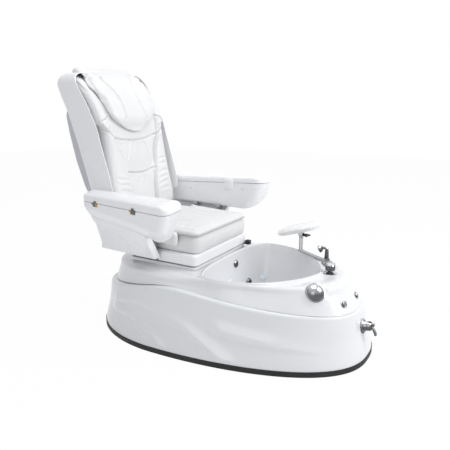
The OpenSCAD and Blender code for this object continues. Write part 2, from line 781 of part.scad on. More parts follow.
// Handset: stem, curved handle and round head that faces the basin
module hand_shower() {
    z = socket_spot[2] + gap;
    color(steel) translate([socket_spot[0], socket_spot[1], z]) {
        translate([0, 0, -20]) cylinder(d = 16, h = socket_h + 22);
        translate([0, 0, socket_h + 0.4]) cylinder(d1 = 24, d2 = 20, h = 40);
        translate([0, 0, socket_h + 40]) rotate([0, 0, 90]) rotate([90, 0, 0])
            translate([0, 0, 0]) rotate_extrude_arc(17, 9, 150);
        translate([0, 17 + 17 * cos(30), socket_h + 40 + 17 * sin(30)]) rotate([-120, 0, 0])
            translate([0, 0, -6]) {
                cylinder(d1 = 22, d2 = 38, h = 12);
                translate([0, 0, 12]) cylinder(d = 38, h = 5);
                translate([0, 0, 17]) cylinder(d = 32, h = 1.5);
            }
    }
}

// Quarter-ring bar: centre line radius r, bar radius b, angle a
module rotate_extrude_arc(r, b, a) {
    translate([r, 0, 0]) rotate([0, 0, 180 - a]) rotate_extrude(angle = a)
        translate([r, 0]) circle(b);
}

// ---- footrest ----

arm_bar_z = deck_z + 15;
post_spot = [281, -340];
sleeve_top = 484;
stem_d = post_d - 6;
head_z = 500;

module footrest_pivot() {
    color(steel) translate(pivot_spot + [0, 0, gap]) {
        cylinder(d = 48, h = 4);
        cylinder(d1 = 44, d2 = 36, h = arm_bar_z - deck_z - gap - 0.3);
        translate([0, 0, 0]) cylinder(d = 14, h = arm_bar_z - deck_z + 10);
        translate([0, 0, -18]) cylinder(d = shank_bore - 1, h = 18);
    }
}

// Swing bar from the pivot to the post's sleeve, with a round tail
module footrest_arm() {
    p = [pivot_spot[0], pivot_spot[1]];
    v = post_spot - p;
    a = atan2(v[1], v[0]);
    len_bar = norm(v);
    color(steel) {
        translate([p[0], p[1], arm_bar_z]) rotate(a) difference() {
            linear_extrude(8) union() {
                circle(d = 38);
                translate([0, -13]) square([len_bar, 26]);
                translate([len_bar, 0]) circle(d = 34);
                translate([-34, 0]) circle(d = 22);
                translate([-34, -9]) square([34, 18]);
            }
            translate([0, 0, -1]) cylinder(d = 14 + 2 * run, h = 10);
            translate([len_bar, 0, -1]) cylinder(d = stem_d + 2 * run, h = 10);
        }
        translate([post_spot[0], post_spot[1], arm_bar_z + 8]) difference() {
            cylinder(d = post_d, h = sleeve_top - arm_bar_z - 8);
            translate([0, 0, -1]) cylinder(d = stem_d + 2 * run, h = 100);
        }
    }
}

// Stem, clamp collar and the fork that carries the pad
module footrest_post() {
    color(steel) translate([post_spot[0], post_spot[1], 0]) {
        translate([0, 0, arm_bar_z - 2]) cylinder(d = stem_d, h = head_z - arm_bar_z + 2);
        translate([0, 0, sleeve_top + 0.4]) cylinder(d = post_d + 2, h = head_z - sleeve_top);
        translate([-17, -12, head_z]) cube([34, 24, 4]);
        for (x = [-17, 11]) translate([x, 0, head_z]) difference() {
            union() {
                translate([0, -12, 0]) cube([6, 24, 12]);
                translate([0, 0, 12]) rotate([0, 90, 0]) cylinder(r = 11, h = 6);
            }
            translate([-1, 0, 12]) rotate([0, 90, 0]) cylinder(d = 8 + 2 * run, h = 8);
        }
    }
}

module pad_place() {
    translate([post_spot[0], post_spot[1], head_z + 12]) rotate([-pad_tilt, 0, 0]) children();
}

pad_low = 13;         // underside of the pad above the tilt pin

// Pad with its steel lug and tilt pin
module footrest_pad() {
    color(white) pad_place() {
        for (k = [[0, 4, 30], [4, 10, 8], [14, 8, 0]])
            translate([0, 0, pad_low + k[0]]) oval(pad_w / 2 - k[2] / 2, pad_len / 2 - k[2] / 2, k[1]);
        translate([0, 0, pad_low + 22]) oval_dome();
    }
    color(steel) pad_place() {
        rotate([0, 90, 0]) translate([0, 0, -22]) cylinder(d = 8, h = 44);
        rotate([0, 90, 0]) translate([0, 0, -10.5]) cylinder(r = 7.5, h = 21);
        translate([-10.5, -10, 0]) cube([21, 20, pad_low]);
    }
}

module oval(a, b, h) {
    linear_extrude(h) scale_oval(a, b);
}

// Oval of four arcs, from circles alone
module scale_oval(a, b) {
    union() {
        translate([0, b - a]) circle(a);
        translate([0, a - b]) circle(a);
        translate([-a, a - b]) square([2 * a, 2 * (b - a)]);
    }
}

module oval_dome() {
    a = pad_w / 2 - 3;
    b = pad_len / 2 - 3;
    skin([for (k = [[0, 0], [4, 4], [14, 8], [34, 11]])
        [for (t = angles(40)) [(a - k[0]) * cos(t), (b - k[0]) * sin(t), k[1]]]]);
}

// Clamp screw with a side lever, on the fork's front
module tilt_lever() {
    color(dark) translate([post_spot[0], post_spot[1] - 12.4, head_z + 2]) rotate([90, 0, 0]) {
        cylinder(d = 16, h = 14);
        translate([0, 0, 14]) cylinder(d = 20, h = 9);
        rotate(-12) {
            translate([0, -4.5, 15]) cube([30, 9, 7]);
            translate([26, 0, 18.5]) rotate([0, 90, 0]) cylinder(d = 12, h = 24);
        }
    }
}

// ---- seat ----

frame_low = plinth_top + 33;   // underside of the seat's cross tubes
cross_s = 26;         // side of those tubes
cross_ys = [250, 400];
side_in = 303;        // inner face of the side plates that carry the arms
side_t = 5;
ear_x = 250;          // inner face of the recline ears on the seat
ear_t = 8;
lever_x = 244;        // inner edge of the slide's release lever
slot_gap = 1;         // space round a tube where it leaves the tray

// Round-cornered outline inset by i: n steps along a side, m round a corner
function rrect(half, lo, hi, r, i = 0, n = 6, m = 4) =
    let (h = half - i, a = lo + i, b = hi - i, q = max(r - i, 2))
    concat([for (k = [0:n - 1]) [h, mix(a + q, b - q, k / n)]],
        [for (k = [0:m - 1]) [h - q + q * cos(90 * k / m), b - q + q * sin(90 * k / m)]],
        [for (k = [0:n - 1]) [mix(h - q, q - h, k / n), b]],
        [for (k = [0:m - 1]) [q - h - q * sin(90 * k / m), b - q + q * cos(90 * k / m)]],
        [for (k = [0:n - 1]) [-h, mix(b - q, a + q, k / n)]],
        [for (k = [0:m - 1]) [q - h - q * cos(90 * k / m), a + q - q * sin(90 * k / m)]],
        [for (k = [0:n - 1]) [mix(q - h, h - q, k / n), a]],
        [for (k = [0:m - 1]) [h - q + q * sin(90 * k / m), a + q - q * cos(90 * k / m)]]);

module seat_frame() {
    color(steel) {
        seat_runners();
        for (y = cross_ys) translate([-side_in, y - cross_s / 2, frame_low])
            cube([2 * side_in, cross_s, cross_s]);
        mirrored() {
            translate([side_in, 225, frame_low]) cube([side_t, 195, 100]);
            for (y = [250, 400]) arm_carrier(y);
            recline_ear();
        }
    }
}

// Bar and pad that hold an arm up from the side plate
module arm_carrier(y) {
    x0 = side_in + side_t;
    x1 = arm_in(y) + 24;
    z = arm_floor(y) - gap - 5;
    translate([side_in, y - 16, frame_low]) cube([side_t, 32, z - frame_low]);
    translate([x0, y - 11, z - 24]) cube([x1 - x0, 22, 24]);
    difference() {
        translate([x1 - 34, y - 16, z - 6]) cube([34, 32, 20]);
        skin(arm_rings(-gap, 40), flip = true);
    }
}

module recline_ear() {
    translate([ear_x, 0, 0]) rotate([90, 0, 90]) linear_extrude(ear_t) difference() {
        union() {
            translate([cross_ys[1] - 40, frame_low]) square([hinge_y + 62 - cross_ys[1], cross_s]);
            translate([hinge_y - 22, frame_low]) square([44, hinge_z - frame_low]);
            translate([hinge_y, hinge_z]) circle(r = 22);
        }
        translate([hinge_y, hinge_z]) circle(d = hinge_pin + 2 * run);
    }
}

// Inverted pan under the cushion
module seat_tray() {
    color(white) difference() {
        translate([0, 0, tray_low]) rounded_plate(tray_half, 0, tray_len, 26, tray_top - tray_low);
        translate([0, 0, tray_low - 1]) rounded_plate(tray_half - tray_sheet, tray_sheet,
            tray_len - tray_sheet, 22, tray_top - tray_low - tray_sheet + 1);
        for (y = cross_ys) translate([-tray_half - 1, y - cross_s / 2 - slot_gap, tray_low - 1])
            cube([2 * tray_half + 2, cross_s + 2 * slot_gap, frame_low + cross_s + slot_gap - tray_low + 1]);
        for (x = [ear_x - slot_gap, -ear_x - ear_t - slot_gap])
            translate([x, tray_len - 40, tray_low - 1])
                cube([ear_t + 2 * slot_gap, 50, frame_low + cross_s + slot_gap - tray_low + 1]);
    }
}

// Release lever of the seat slide, under the tray's front corner
module slide_lever() {
    z = plinth_top + 0.6;
    color(dark) {
        translate([lever_x + 9, 130, z]) linear_extrude(5) union() {
            circle(d = 26);
            translate([-9, -138]) square([18, 138]);
        }
        translate([lever_x - 4, -34, z]) cube([26, 26, 24]);
        translate([lever_x + 9, 130, z + 4]) cylinder(d = 10, h = tray_top - tray_sheet - gap - z - 4);
    }
}

cushion_y0 = -5;
cushion_y1 = 488;

function flat_ring(p, z) = [for (q = p) [q[0], q[1], z]];

// Lower cushion: drawn-in foot, swollen sides, flat top for the pad
module seat_cushion() {
    low = tray_top + gap;
    top = low + seat_block;
    color(white) skin([for (k = [[16, 0], [6, 3], [2, 12], [-1, 40], [-1, 60], [2, 82], [7, 90], [15, seat_block]])
        flat_ring(rrect(seat_half - 2, cushion_y0 + 2, cushion_y1 - 2, 40, k[0]), low + k[1])]);
}

pad_seam = 26;        // distance of the pad's stitched seam from its edge

// Upper pad: piped edge, stitched seam and a crowned middle
module seat_pad() {
    low = tray_top + 2 * gap + seat_block;
    t = seat_pad_t;
    color(white) skin([for (k = [[10, 0], [3, 2], [0, 9], [0, 14], [4, t - 4], [12, t],
                                 [pad_seam - 5, t + 1], [pad_seam, t - 3], [pad_seam + 5, t + 1.5],
                                 [60, t + 5], [110, t + 7], [180, t + 8]])
        flat_ring(rrect(seat_half - 2, cushion_y0 + 3, cushion_y1 - 6, 38, k[0]), low + k[1])]);
}

bolster_y0 = 104;
bolster_y1 = 405;
bolster_x = 268.5;    // inner face of the side bolsters
bolster_out = side_in - gap;

// Upright pads between the seat and the arms
module side_bolsters() {
    color(white) mirrored() skin([for (k = [[5, 0, 0], [1, 5, 1], [0, 24, 2], [0, 50, 3], [1, 62, 4], [5, 70, 5], [10, 73, 6]])
        [for (p = rrect((bolster_out - bolster_x) / 2, bolster_y0, bolster_y1, 15, k[0], n = 4, m = 3))
            [p[0] + (bolster_x + bolster_out) / 2, p[1],
             mix(516, 530, (p[1] - bolster_y0) / (bolster_y1 - bolster_y0)) + k[1] * 0.95]]]);
}

// ---- armrests ----

front_r = 48;         // round of the arm's front corners in plan
seam_fall = 0.023;    // the seam drops to the rear
seam_roll = 0.08;     // and to the outside
tuck = 140;           // how far the front end is drawn back at its foot

function arm_in(y) = arm_inner - arm_flare_in * y;
function arm_out(y) = arm_outer - arm_flare * y;
function arm_mid(y) = (arm_in(y) + arm_out(y)) / 2;
function seam_at(x, y) = seam_z - seam_fall * y - seam_roll * (x - arm_mid(y));
function arm_part(y) = clamp((y - arm_front) / (arm_rear - arm_front));
function arm_deep(y) = mix(168, 116, arm_part(y));
function arm_edge(y) = mix(88, 24, arm_part(y));
function arm_floor(y) = seam_at(arm_in(y), y) - arm_deep(y);
function corner_in(d) = d < front_r ? front_r - sqrt(max(0, front_r * front_r - pow(front_r - d, 2))) : 0;
function tuck_at(y, drop) = tuck * (1 - smooth((y - arm_front) / 330)) * pow(max(0, drop) / 168, 1.5);

// Section of the arm's body at y, inset by i and carried up past the seam
function arm_section(y, i, up, tight) =
    let (c = corner_in(y - arm_front) + tight)
    let (a = arm_in(y) + c + i, b = arm_out(y) - c - i, e = arm_edge(y) - 0.5 * i)
    let (d = max(arm_deep(y) - i - 0.6 * c, e + 20))
    [for (q = [[a, -up], [a, d - 18], [a + 4, d - 5], [a + 14, d], [mix(a, b, 0.4), d],
               [mix(a, b, 0.72), mix(d, e, 0.5) + 5], [b - 3, e + 4], [b, e - 3], [b, -up]])
        [q[0], y + tuck_at(y, q[1]), seam_at(q[0], y) - q[1]]];

arm_steps = [0, 5, 15, 30, 48, 100, 180, 280, 400, 520];

function arm_rings(i, up) = concat(
    [for (d = arm_steps) arm_section(arm_front + max(d + i, 0), i, up, 0)],
    [arm_section(arm_rear - 8 - i, i, up, 0), arm_section(arm_rear - i, i, up, 5)]);

module arm_shell() {
    difference() {
        skin(arm_rings(0, 0), flip = true);
        skin(arm_rings(arm_wall, 1), flip = true);
    }
}

module arm_body(side) {
    color(white) mirror([side, 0, 0]) arm_shell();
}

// Crowned section of the lid
function lid_section(y, i, low, tight) =
    let (d = y - arm_front, c = corner_in(d) + tight)
    let (a = arm_in(y) + c + i, b = arm_out(y) - c - i)
    let (h = (lid_t - 4) * mix(0.62, 1, smooth(sqrt(clamp(d / 60)))) - i)
    [for (q = [[a, low], [a, h * 0.6], [a + 3, h * 0.8], [a + 12, h * 0.96], [mix(a, b, 0.3), h + 2.5],
               [mix(a, b, 0.5), h + 4], [mix(a, b, 0.7), h + 2.5], [b - 12, h * 0.96],
               [b - 3, h * 0.8], [b, h * 0.6], [b, low]])
        [q[0], y, seam_at(q[0], y) + q[1]]];

function lid_rings(i, low) = concat(
    [for (d = arm_steps) lid_section(arm_front + max(d + i, 0), i, low, 0)],
    [lid_section(arm_rear - 8 - i, i, low, 0), lid_section(arm_rear - i, i, low, 5)]);

module arm_lid(side) {
    color(white) mirror([side, 0, 0]) difference() {
        skin(lid_rings(0, gap));
        skin(lid_rings(arm_wall, -2));
    }
}

hinge_out = 5;        // hinge line outside the arm's wall
knuckle_d = 8;
hinge_pin_d = 4;
hinge_ys = [200, 500];

function hinge_at(y) = [arm_out(y) + hinge_out, y, seam_at(arm_out(y), y)];

module on_hinges(side) {
    mirror([side, 0, 0]) for (y = hinge_ys)
        aim(hinge_at(y), hinge_at(y + 1) - hinge_at(y)) children();
}

// Knuckles, pin and leaf on the arm's body
module arm_hinges() {
    color("gold") for (side = [0, 1]) on_hinges(side) {
        for (z = [-20, 10]) translate([0, 0, z]) {
            cylinder(d = knuckle_d, h = 10);
            translate([0, 1, 0.5]) cube([7, hinge_out - 1.5, 9]);
        }
        translate([0, 0, -21]) cylinder(d = hinge_pin_d, h = 42);
        translate([5.5, hinge_out - 2.9, -19]) cube([11, 1.7, 38]);
    }
}

module lid_leaves(side) {
    color("gold") on_hinges(side) difference() {
        union() {
            translate([0, 0, -9.7]) cylinder(d = knuckle_d, h = 19.4);
            translate([-13, hinge_out - 2, -9.2]) cube([12, 1.7, 18.4]);
            translate([-6, 1, -9.2]) cube([6, hinge_out - 1.5, 18.4]);
        }
        translate([0, 0, -12]) cylinder(d = hinge_pin_d + 2 * run, h = 24);
    }
}

latch_y = [150, 208];
latch_drop = 46;

// Finger tab that hangs from the lid over the arm's inner face
module lid_latch(side) {
    color(white) mirror([side, 0, 0]) {
        rings = [for (y = [latch_y[0], latch_y[0] + 4, latch_y[1] - 4, latch_y[1]])
            let (s = (y == latch_y[0] || y == latch_y[1]) ? 4 : 0, a = arm_in(y) - gap)
            [for (q = [[0, 30 - s], [0, -latch_drop + s], [-3, 2 - latch_drop + s], [-6 + s / 2, 8 - latch_drop],
                       [-6 + s / 2, 22 - s], [-4, 28 - s]])
                [a + q[0], y, seam_at(a, y) + q[1]]]];
        skin(rings);
    }
}

module arm_screws() {
    color("gainsboro") mirrored() for (y = [90, 430])
        translate([arm_in(y) - gap, y, seam_at(arm_in(y), y) - 36])
            rotate([0, -90, atan(arm_flare_in)]) {
                cylinder(d = 18, h = 2);
                translate([0, 0, 2]) cylinder(d1 = 16, d2 = 10, h = 1.5);
            }
}

panel_rear = 596;
panel_front = 176;
panel_t = 4;
panel_foot_z = 440;
return_w = 36;        // depth of the panel's front return

// Section of the side panel: from under the arm's edge down to its foot
function panel_section(y, lean, t, press) =
    let (e = arm_edge(y), xo = arm_out(y), zo = seam_at(xo, y) - e)
    let (xf = mix(330, 304, clamp((y - panel_front) / (panel_rear - panel_front))) + side_t + 2)
    let (line = [for (f = [0, 0.14, 0.3, 0.45, 0.6, 0.75, 0.9, 1])
        let (bow = 16 * sin(180 * pow(f, 0.8)))
        [mix(xo - 3, xf, f) - bow - press * exp(-pow((f - 0.33) / 0.11, 2)), mix(zo, panel_foot_z, f)]])
    let (n = len(line))
    let (out = [for (p = line) [p[0], y + lean * (zo - p[1]), p[1]]])
    let (inn = [for (k = [n - 1:-1:0]) [line[k][0] - t, y + lean * (zo - line[k][1]), line[k][1] + 0.3 * min(t, 6)]])
    concat(out, inn);

module arm_panel(side) {
    rows = [[panel_front, return_w, 0], [panel_front + 4, return_w, 1], [panel_front + 4.2, panel_t, 1],
            [230, panel_t, 3], [300, panel_t, 5], [380, panel_t, 4], [460, panel_t, 2], [540, panel_t, 0],
            [panel_rear, panel_t, 0]];
    color(white) mirror([side, 0, 0]) difference() {
        skin([for (r = rows)
            panel_section(r[0], 0.1 * (1 - clamp((r[0] - panel_front) / 200)), r[1], r[2])]);
        skin(arm_rings(-gap, 40), flip = true);
        for (y = cross_ys) translate([side_in - 1, y - 30, frame_low - 60])
            cube([side_t + 1 + gap, 60, 260]);
    }
}

// ---- backrest ----

rim_line = [[640, 582], [665, 581], [680, 545], [700, 506], [757, 508], [847, 530], [977, 569], [1096, 602],
            [1208, 657], [1285, 707], [1378, 762]];
rear_line = [[640, 632], [751, 690], [896, 734], [1047, 784], [1186, 834], [1249, 866], [1312, 890],
             [1345, 894], [1378, 878]];
front_line = [[612, 522], [700, 530], [835, 556], [1037, 590], [1150, 620], [1300, 660], [1400, 703]];
shell_r = 72;         // corner radius of the shell's outline

function rim_y(z) = lookup(z, rim_line);
function rear_y(z) = lookup(z, rear_line);
function front_y(z) = lookup(z, front_line);

// Ring of the shell: inset i, f from the rim (0) to the rear face (1), moved by d
function shell_ring(i, f, d) =
    [for (p = rrect(back_half, back_low, back_top, shell_r, i, n = 8, m = 4))
        [p[0], mix(rim_y(p[1]), rear_y(p[1]), f) + d, p[1]]];

shell_depths = [[0, 0], [0, 0.5], [3, 0.78], [14, 0.94], [46, 1.01], [130, 1.04]];

module shell_solid(i, d) {
    skin(concat([shell_ring(i, 0, d == 0 ? 0 : -60)],
        [for (k = shell_depths) if (k[1] > 0) shell_ring(i + k[0], k[1], d)]), flip = true);
}

slot_x = 240;         // where the frame's side plates enter the shell
plate_t = 8;

module back_shell() {
    rings = concat([for (k = [5:-1:0]) shell_ring(back_wall + shell_depths[k][0],
            shell_depths[k][1], shell_depths[k][1] > 0 ? -back_wall : 0)],
        [for (k = shell_depths) shell_ring(k[0], k[1], 0)]);
    color(white) difference() {
        skin(rings, flip = true);
        for (x = [-slot_x - plate_t / 2, slot_x - plate_t / 2])
            translate([x - 1.5, hinge_y - 10, back_low - 40]) cube([plate_t + 3, 110, 62]);
    }
}

cover_low = 662;
cover_high = 1196;
cover_half = 276;

// Hump of the rear cover, inset by i
module cover_solid(i) {
    skin([for (k = [[0, -40], [0, 26], [5, 40], [20, 50], [70, 56]])
        [for (p = rrect(cover_half, cover_low, cover_high, 60, k[0] + i, n = 6, m = 3))
            let (swell = lookup(p[1], [[660, 0.5], [760, 1], [900, 1.25], [1050, 1], [1196, 0.35]]))
            [p[0], rear_y(p[1]) + (k[1] > 0 ? k[1] * swell - i : k[1]), p[1]]]], flip = true);
}

module back_cover() {
    color("gainsboro") difference() {
        cover_solid(0);
        cover_solid(4);
        translate([0, gap, 0]) shell_solid(0, 0);
    }
}

// ---- back cushion and pillow ----

cushion_half = 272;
panel_line = [[612, 96], [728, 100], [835, 112], [1037, 185], [1100, 205], [1345, 215]];
cushion_rows = [612, 617, 630, 660, 700, 745, 790, 823, 835, 847, 900, 960, 1015, 1029, 1040, 1051,
                1090, 1124, 1137, 1150, 1200, 1260, 1310, 1335, 1345];
cushion_t = 52;

function end_in(z, lo, hi) = 14 * pow(clamp(1 - (z - lo) / 26), 2) + 14 * pow(clamp(1 - (hi - z) / 26), 2);
function seam_dip(d, w) = exp(-pow(d / w, 2));

// Front face of the cushion at (x, z)
wing_rise = [[612, 24], [700, 30], [1040, 30], [1137, 26], [1200, 22], [1345, 12]];
function cushion_swell(x, z) =
    let (a = abs(x), p = lookup(z, panel_line), w = cushion_half - p, m = clamp((a - p) / w))
    let (wing = a > p ? lookup(z, wing_rise) * pow(max(0, sin(180 * pow(m, 0.8) * 0.94)), 0.55) : 0)
    front_y(z) - wing - (a < p ? 7 * (1 - pow(a / p, 2)) : 0);
function cushion_front(x, z) =
    let (a = abs(x), p = lookup(z, panel_line))
    let (dips = 6 * seam_dip(a - p, 6) + (a < p + 8 ? 6 * (seam_dip(z - 835, 7) + seam_dip(z - 1040, 7)) : 0)
        + (a > p ? 7 * seam_dip(z - 1137, 8) : 0))
    cushion_swell(x, z) + dips;

module back_cushion() {
    color(white) skin([for (z = cushion_rows)
        let (s = end_in(z, 612, 1345), p = lookup(z, panel_line), w = cushion_half - p)
        let (xs = [p * 0.35, p * 0.7, p * 0.93, p, p + w * 0.07, p + w * 0.25, p + w * 0.5, p + w * 0.75,
                   cushion_half - 8 - s / 2])
        let (edge = cushion_half - s, back = front_y(z) + cushion_t - s)
        let (right = [for (x = xs) [x, min(cushion_front(x, z) + s, back - 12), z]])
        concat([for (k = [len(xs) - 1:-1:0]) [-right[k][0], right[k][1], z]],
            [[0, min(cushion_front(0, z) + s, back - 12), z]], right,
            [[edge - 1, mix(cushion_front(cushion_half - 8, z), back, 0.35), z],
             [edge, mix(cushion_front(cushion_half - 8, z), back, 0.7), z]],
            [for (x = [edge - 6, edge / 2, 0, -edge / 2, 6 - edge]) [x, back, z]],
            [[-edge, mix(cushion_front(cushion_half - 8, z), back, 0.7), z],
             [1 - edge, mix(cushion_front(cushion_half - 8, z), back, 0.35), z]])]);
}

pillow_line = [[1062, 46], [1075, 84], [1105, 132], [1155, 190], [1204, 225], [1280, 256], [1330, 268],
               [1362, 264], [1387, 246], [1407, 205]];
pillow_rows = [1062, 1066, 1076, 1100, 1137, 1200, 1260, 1310, 1345, 1362];
pillow_clear = 3.8;   // from the pillow's rear to the cushion
pillow_depth = [[1062, 574], [1078, 563], [1140, 577], [1204, 597], [1330, 650], [1400, 700]];
flap_low = back_top + gap;

// Rear of the pillow at (x, z): it rests on the cushion's wings and panel
function pillow_rest(x, z) = min(cushion_swell(x, min(z, 1345)) - pillow_clear, 712);

function pillow_ring(z, rear, s) =
    let (h = lookup(z, pillow_line) - s, f = lookup(z, pillow_depth) + s)
    let (at = [for (u = [0, 0.25, 0.5, 0.66, 0.78, 0.88, 0.96]) rear > 0 ? rear : pillow_rest(h * u, z)])
    concat([for (u = [-1, -0.92, -0.75, -0.45, 0, 0.45, 0.75, 0.92, 1])
            [h * u, mix(min(f, at[6] - 6), at[6], pow(abs(u), 5) * 0.6) - 5 * (1 - u * u)
                + 5 * seam_dip(abs(u) - 0.45, 0.05), z]],
        [for (k = [6:-1:1]) [h * [0, 0.25, 0.5, 0.66, 0.78, 0.88, 0.96][k], at[k], z]],
        [for (k = [0:6]) [-h * [0, 0.25, 0.5, 0.66, 0.78, 0.88, 0.96][k], at[k], z]]);

// Shield-shaped pillow with a flap that lies on the shell's top
module head_pillow() {
    color(white) skin(concat(
        [for (z = pillow_rows) pillow_ring(z, 0, 9 * pow(clamp(1 - (z - 1062) / 16), 2))],
        [for (k = [[flap_low, 712, 0], [flap_low, 832, 0], [flap_low + 8, 838, 0], [flap_low + 20, 830, 2], [flap_low + 28, 804, 10]])
            pillow_ring(k[0], k[1], k[2])]));
}

// ---- frame of the back ----

board_t = 4;

// Side profile between two offsets behind the cushion's back
module board_profile(a, b) {
    rows = [for (z = cushion_rows) if (z > 650 && z < 1336) z];
    polygon(concat([for (z = rows) [front_y(z) + cushion_t + a, z]],
        [for (k = [len(rows) - 1:-1:0]) [front_y(rows[k]) + cushion_t + b, rows[k]]]));
}

module across(half) {
    translate([-half, 0, 0]) rotate([90, 0, 90]) linear_extrude(2 * half) children();
}

// Curved board behind the cushion, with a window for the massage rollers
module back_board() {
    color("burlywood") difference() {
        across(232) board_profile(gap, gap + board_t);
        translate([-158, 500, 735]) cube([316, 300, 450]);
    }
}

tube_line = [[690, 606], [850, 648], [1050, 700], [1250, 756]];
tube_x = 200;
rail_half = 110;
rail_foot = [632, 735];
rail_head = [738, 1186];
bar_foot = [612, 735];    // cross bars that hold the rails, as Y and Z
bar_head = [718, 1186];
bar_d = 20;

module side_plate() {
    translate([slot_x - plate_t / 2, 0, 0]) rotate([90, 0, 90]) linear_extrude(plate_t) {
        translate([hinge_y, hinge_z]) circle(r = 22);
        polygon([[hinge_y - 12, hinge_z + 18], [hinge_y + 16, hinge_z - 15], [600, 606], [620, 652],
                 [630, 700], [600, 712], [583, 660], [577, 632], [563, 604]]);
    }
}

module back_frame() {
    color(steel) {
        mirrored() {
            side_plate();
            translate([slot_x - plate_t / 2, hinge_y, hinge_z]) rotate([0, 90, 0])
                cylinder(d = hinge_pin, h = ear_x + ear_t + 4 - slot_x + plate_t / 2);
            bent_tube([for (p = tube_line) [tube_x, p[1], p[0]]], 12);
            translate([tube_x, 606, 690]) rotate([0, 90, 0]) cylinder(d = 24, h = slot_x - tube_x);
            difference() {
                for (z = [720, 1215]) translate([tube_x, lookup(z, tube_line), z])
                    rotate([90, 0, 0]) cylinder(d = 20, h = 60, center = true);
                across(300) board_profile(-200, 2 * gap + board_t);
            }
            difference() {
                for (z = [820, 1200]) translate([tube_x, lookup(z, tube_line), z])
                    rotate([-90, 0, 0]) cylinder(d = 20, h = 150);
                difference() {
                    translate([0, 500, 700]) cube([300, 600, 700]);
                    translate([0, -back_wall - 3 * gap, 0]) shell_solid(back_wall, 0);
                }
            }
        }
        for (p = [bar_foot, bar_head]) {
            translate([-tube_x, p[0], p[1]]) rotate([0, 90, 0]) cylinder(d = bar_d, h = 2 * tube_x);
            difference() {
                for (x = [-rail_half, rail_half]) translate([x - 12, p[0], p[1] - 10]) cube([24, 34, 20]);
                rails(rail_d + 2 * run);
            }
        }
    }
}

rail_d = 14;
rail_dir = [rail_head[0] - rail_foot[0], rail_head[1] - rail_foot[1]];
rail_lean = atan2(rail_dir[0], rail_dir[1]);
rail_len = norm(rail_dir);

// Frame of reference that runs up the rails
module on_rails() {
    translate([0, rail_foot[0], rail_foot[1]]) rotate([-rail_lean, 0, 0]) children();
}

module rails(d) {
    on_rails() for (x = [-rail_half, rail_half])
        translate([x, 0, -12]) cylinder(d = d, h = rail_len + 24);
}

module massage_rails() {
    color(steel) rails(rail_d);
}

carriage_h = 90;
carriage_z = 60;      // lowest place of the carriage on the rails
axle_y = -18;

module massage_carriage() {
    color(dark) on_rails() translate([0, 0, carriage_z]) {
        difference() {
            union() {
                for (x = [-rail_half, rail_half]) translate([x, 0, 0]) cylinder(d = 28, h = carriage_h);
                translate([-rail_half, 4, 8]) cube([2 * rail_half, 10, carriage_h - 16]);
            }
            for (x = [-rail_half, rail_half])
                translate([x, 0, -1]) cylinder(d = rail_d + 2 * run, h = carriage_h + 2);
        }
        translate([-34, 14, 14]) cube([68, 26, 60]);
        for (x = [-64, 56]) translate([x, axle_y - 8, 30]) difference() {
            cube([8, 34, 30]);
            translate([-1, 8, 15]) rotate([0, 90, 0]) cylinder(d = 8 + 2 * run, h = 10);
        }
    }
}

module massage_rollers() {
    color(dark) on_rails() translate([0, axle_y, carriage_z + 45]) rotate([0, 90, 0]) {
        cylinder(d = 8, h = 136, center = true);
        for (s = [-1, 1]) translate([0, 0, s * 38 - 12]) {
            translate([0, 0, 4]) cylinder(d = 32, h = 16);
            cylinder(d1 = 22, d2 = 32, h = 4);
            translate([0, 0, 20]) cylinder(d1 = 32, d2 = 22, h = 4);
        }
    }
}

// ---- build ----

module place() {
    translate([0, middle_y, 0]) children();
}

place() skirt();
place() tub();
place() base_trim();
place() base_frame();
place() frame_posts();
place() levelling_feet();
place() access_panel();
place() panel_screws();
place() seat_plinth();
place() slide_rails();
place() jet_pump();
place() pipes();
place() jets();
place() basin_light();
place() suction_cover();
place() drain_body();
place() drain_plug();
place() control_box();
place() mixer_body();
place() mixer_cap();
place() mixer_lever();
place() deck_bezels();
place() dome_knob();
place() fluted_knob();
place() air_button(0);  // air_button_right
place() air_button(1);  // air_button_left
place() shower_socket();
place() hand_shower();
place() footrest_pivot();
place() footrest_arm();
place() footrest_post();
place() tilt_lever();
place() footrest_pad();
place() slide_lever();
place() seat_frame();
place() seat_tray();
place() seat_cushion();
place() seat_pad();
place() side_bolsters();
place() arm_body(1);  // arm_body_right
place() arm_body(0);  // arm_body_left
place() arm_panel(1);  // arm_panel_right
place() arm_panel(0);  // arm_panel_left
place() arm_screws();
place() arm_lid(1);  // arm_lid_right
place() arm_lid(0);  // arm_lid_left
place() lid_latch(1);  // lid_latch_right
place() lid_latch(0);  // lid_latch_left
place() arm_hinges();
place() lid_leaves(1);  // lid_leaves_right
place() lid_leaves(0);  // lid_leaves_left
place() back_frame();
place() back_board();
place() back_shell();
place() back_cover();
place() back_cushion();
place() head_pillow();
place() massage_rails();
place() massage_carriage();
place() massage_rollers();
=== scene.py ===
"""Pedicure spa chair: moulded foot-bath base, flared storage armrests, padded seat and back.

Sizes inside the piece builders are in millimetres in the drawing frame, and DRAWING_Y added to its Y
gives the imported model's. Everything that reaches Blender is in metres.
"""

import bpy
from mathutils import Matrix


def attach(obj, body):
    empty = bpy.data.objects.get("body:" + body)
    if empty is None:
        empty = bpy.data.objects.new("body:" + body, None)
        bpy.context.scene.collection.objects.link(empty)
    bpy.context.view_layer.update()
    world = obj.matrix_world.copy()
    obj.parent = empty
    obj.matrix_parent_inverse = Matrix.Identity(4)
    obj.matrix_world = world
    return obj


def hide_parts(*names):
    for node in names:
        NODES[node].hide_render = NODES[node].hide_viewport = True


bl_info = {
    "name": "Pedicure spa chair",
    "version": (1, 0, 0),
    "blender": (4, 5, 0),
    "location": "3D View > Sidebar > Spa chair",
    "description": "Builds the mouldings, cushions and finishes of a pedicure spa chair",
    "category": "Object",
}

import math

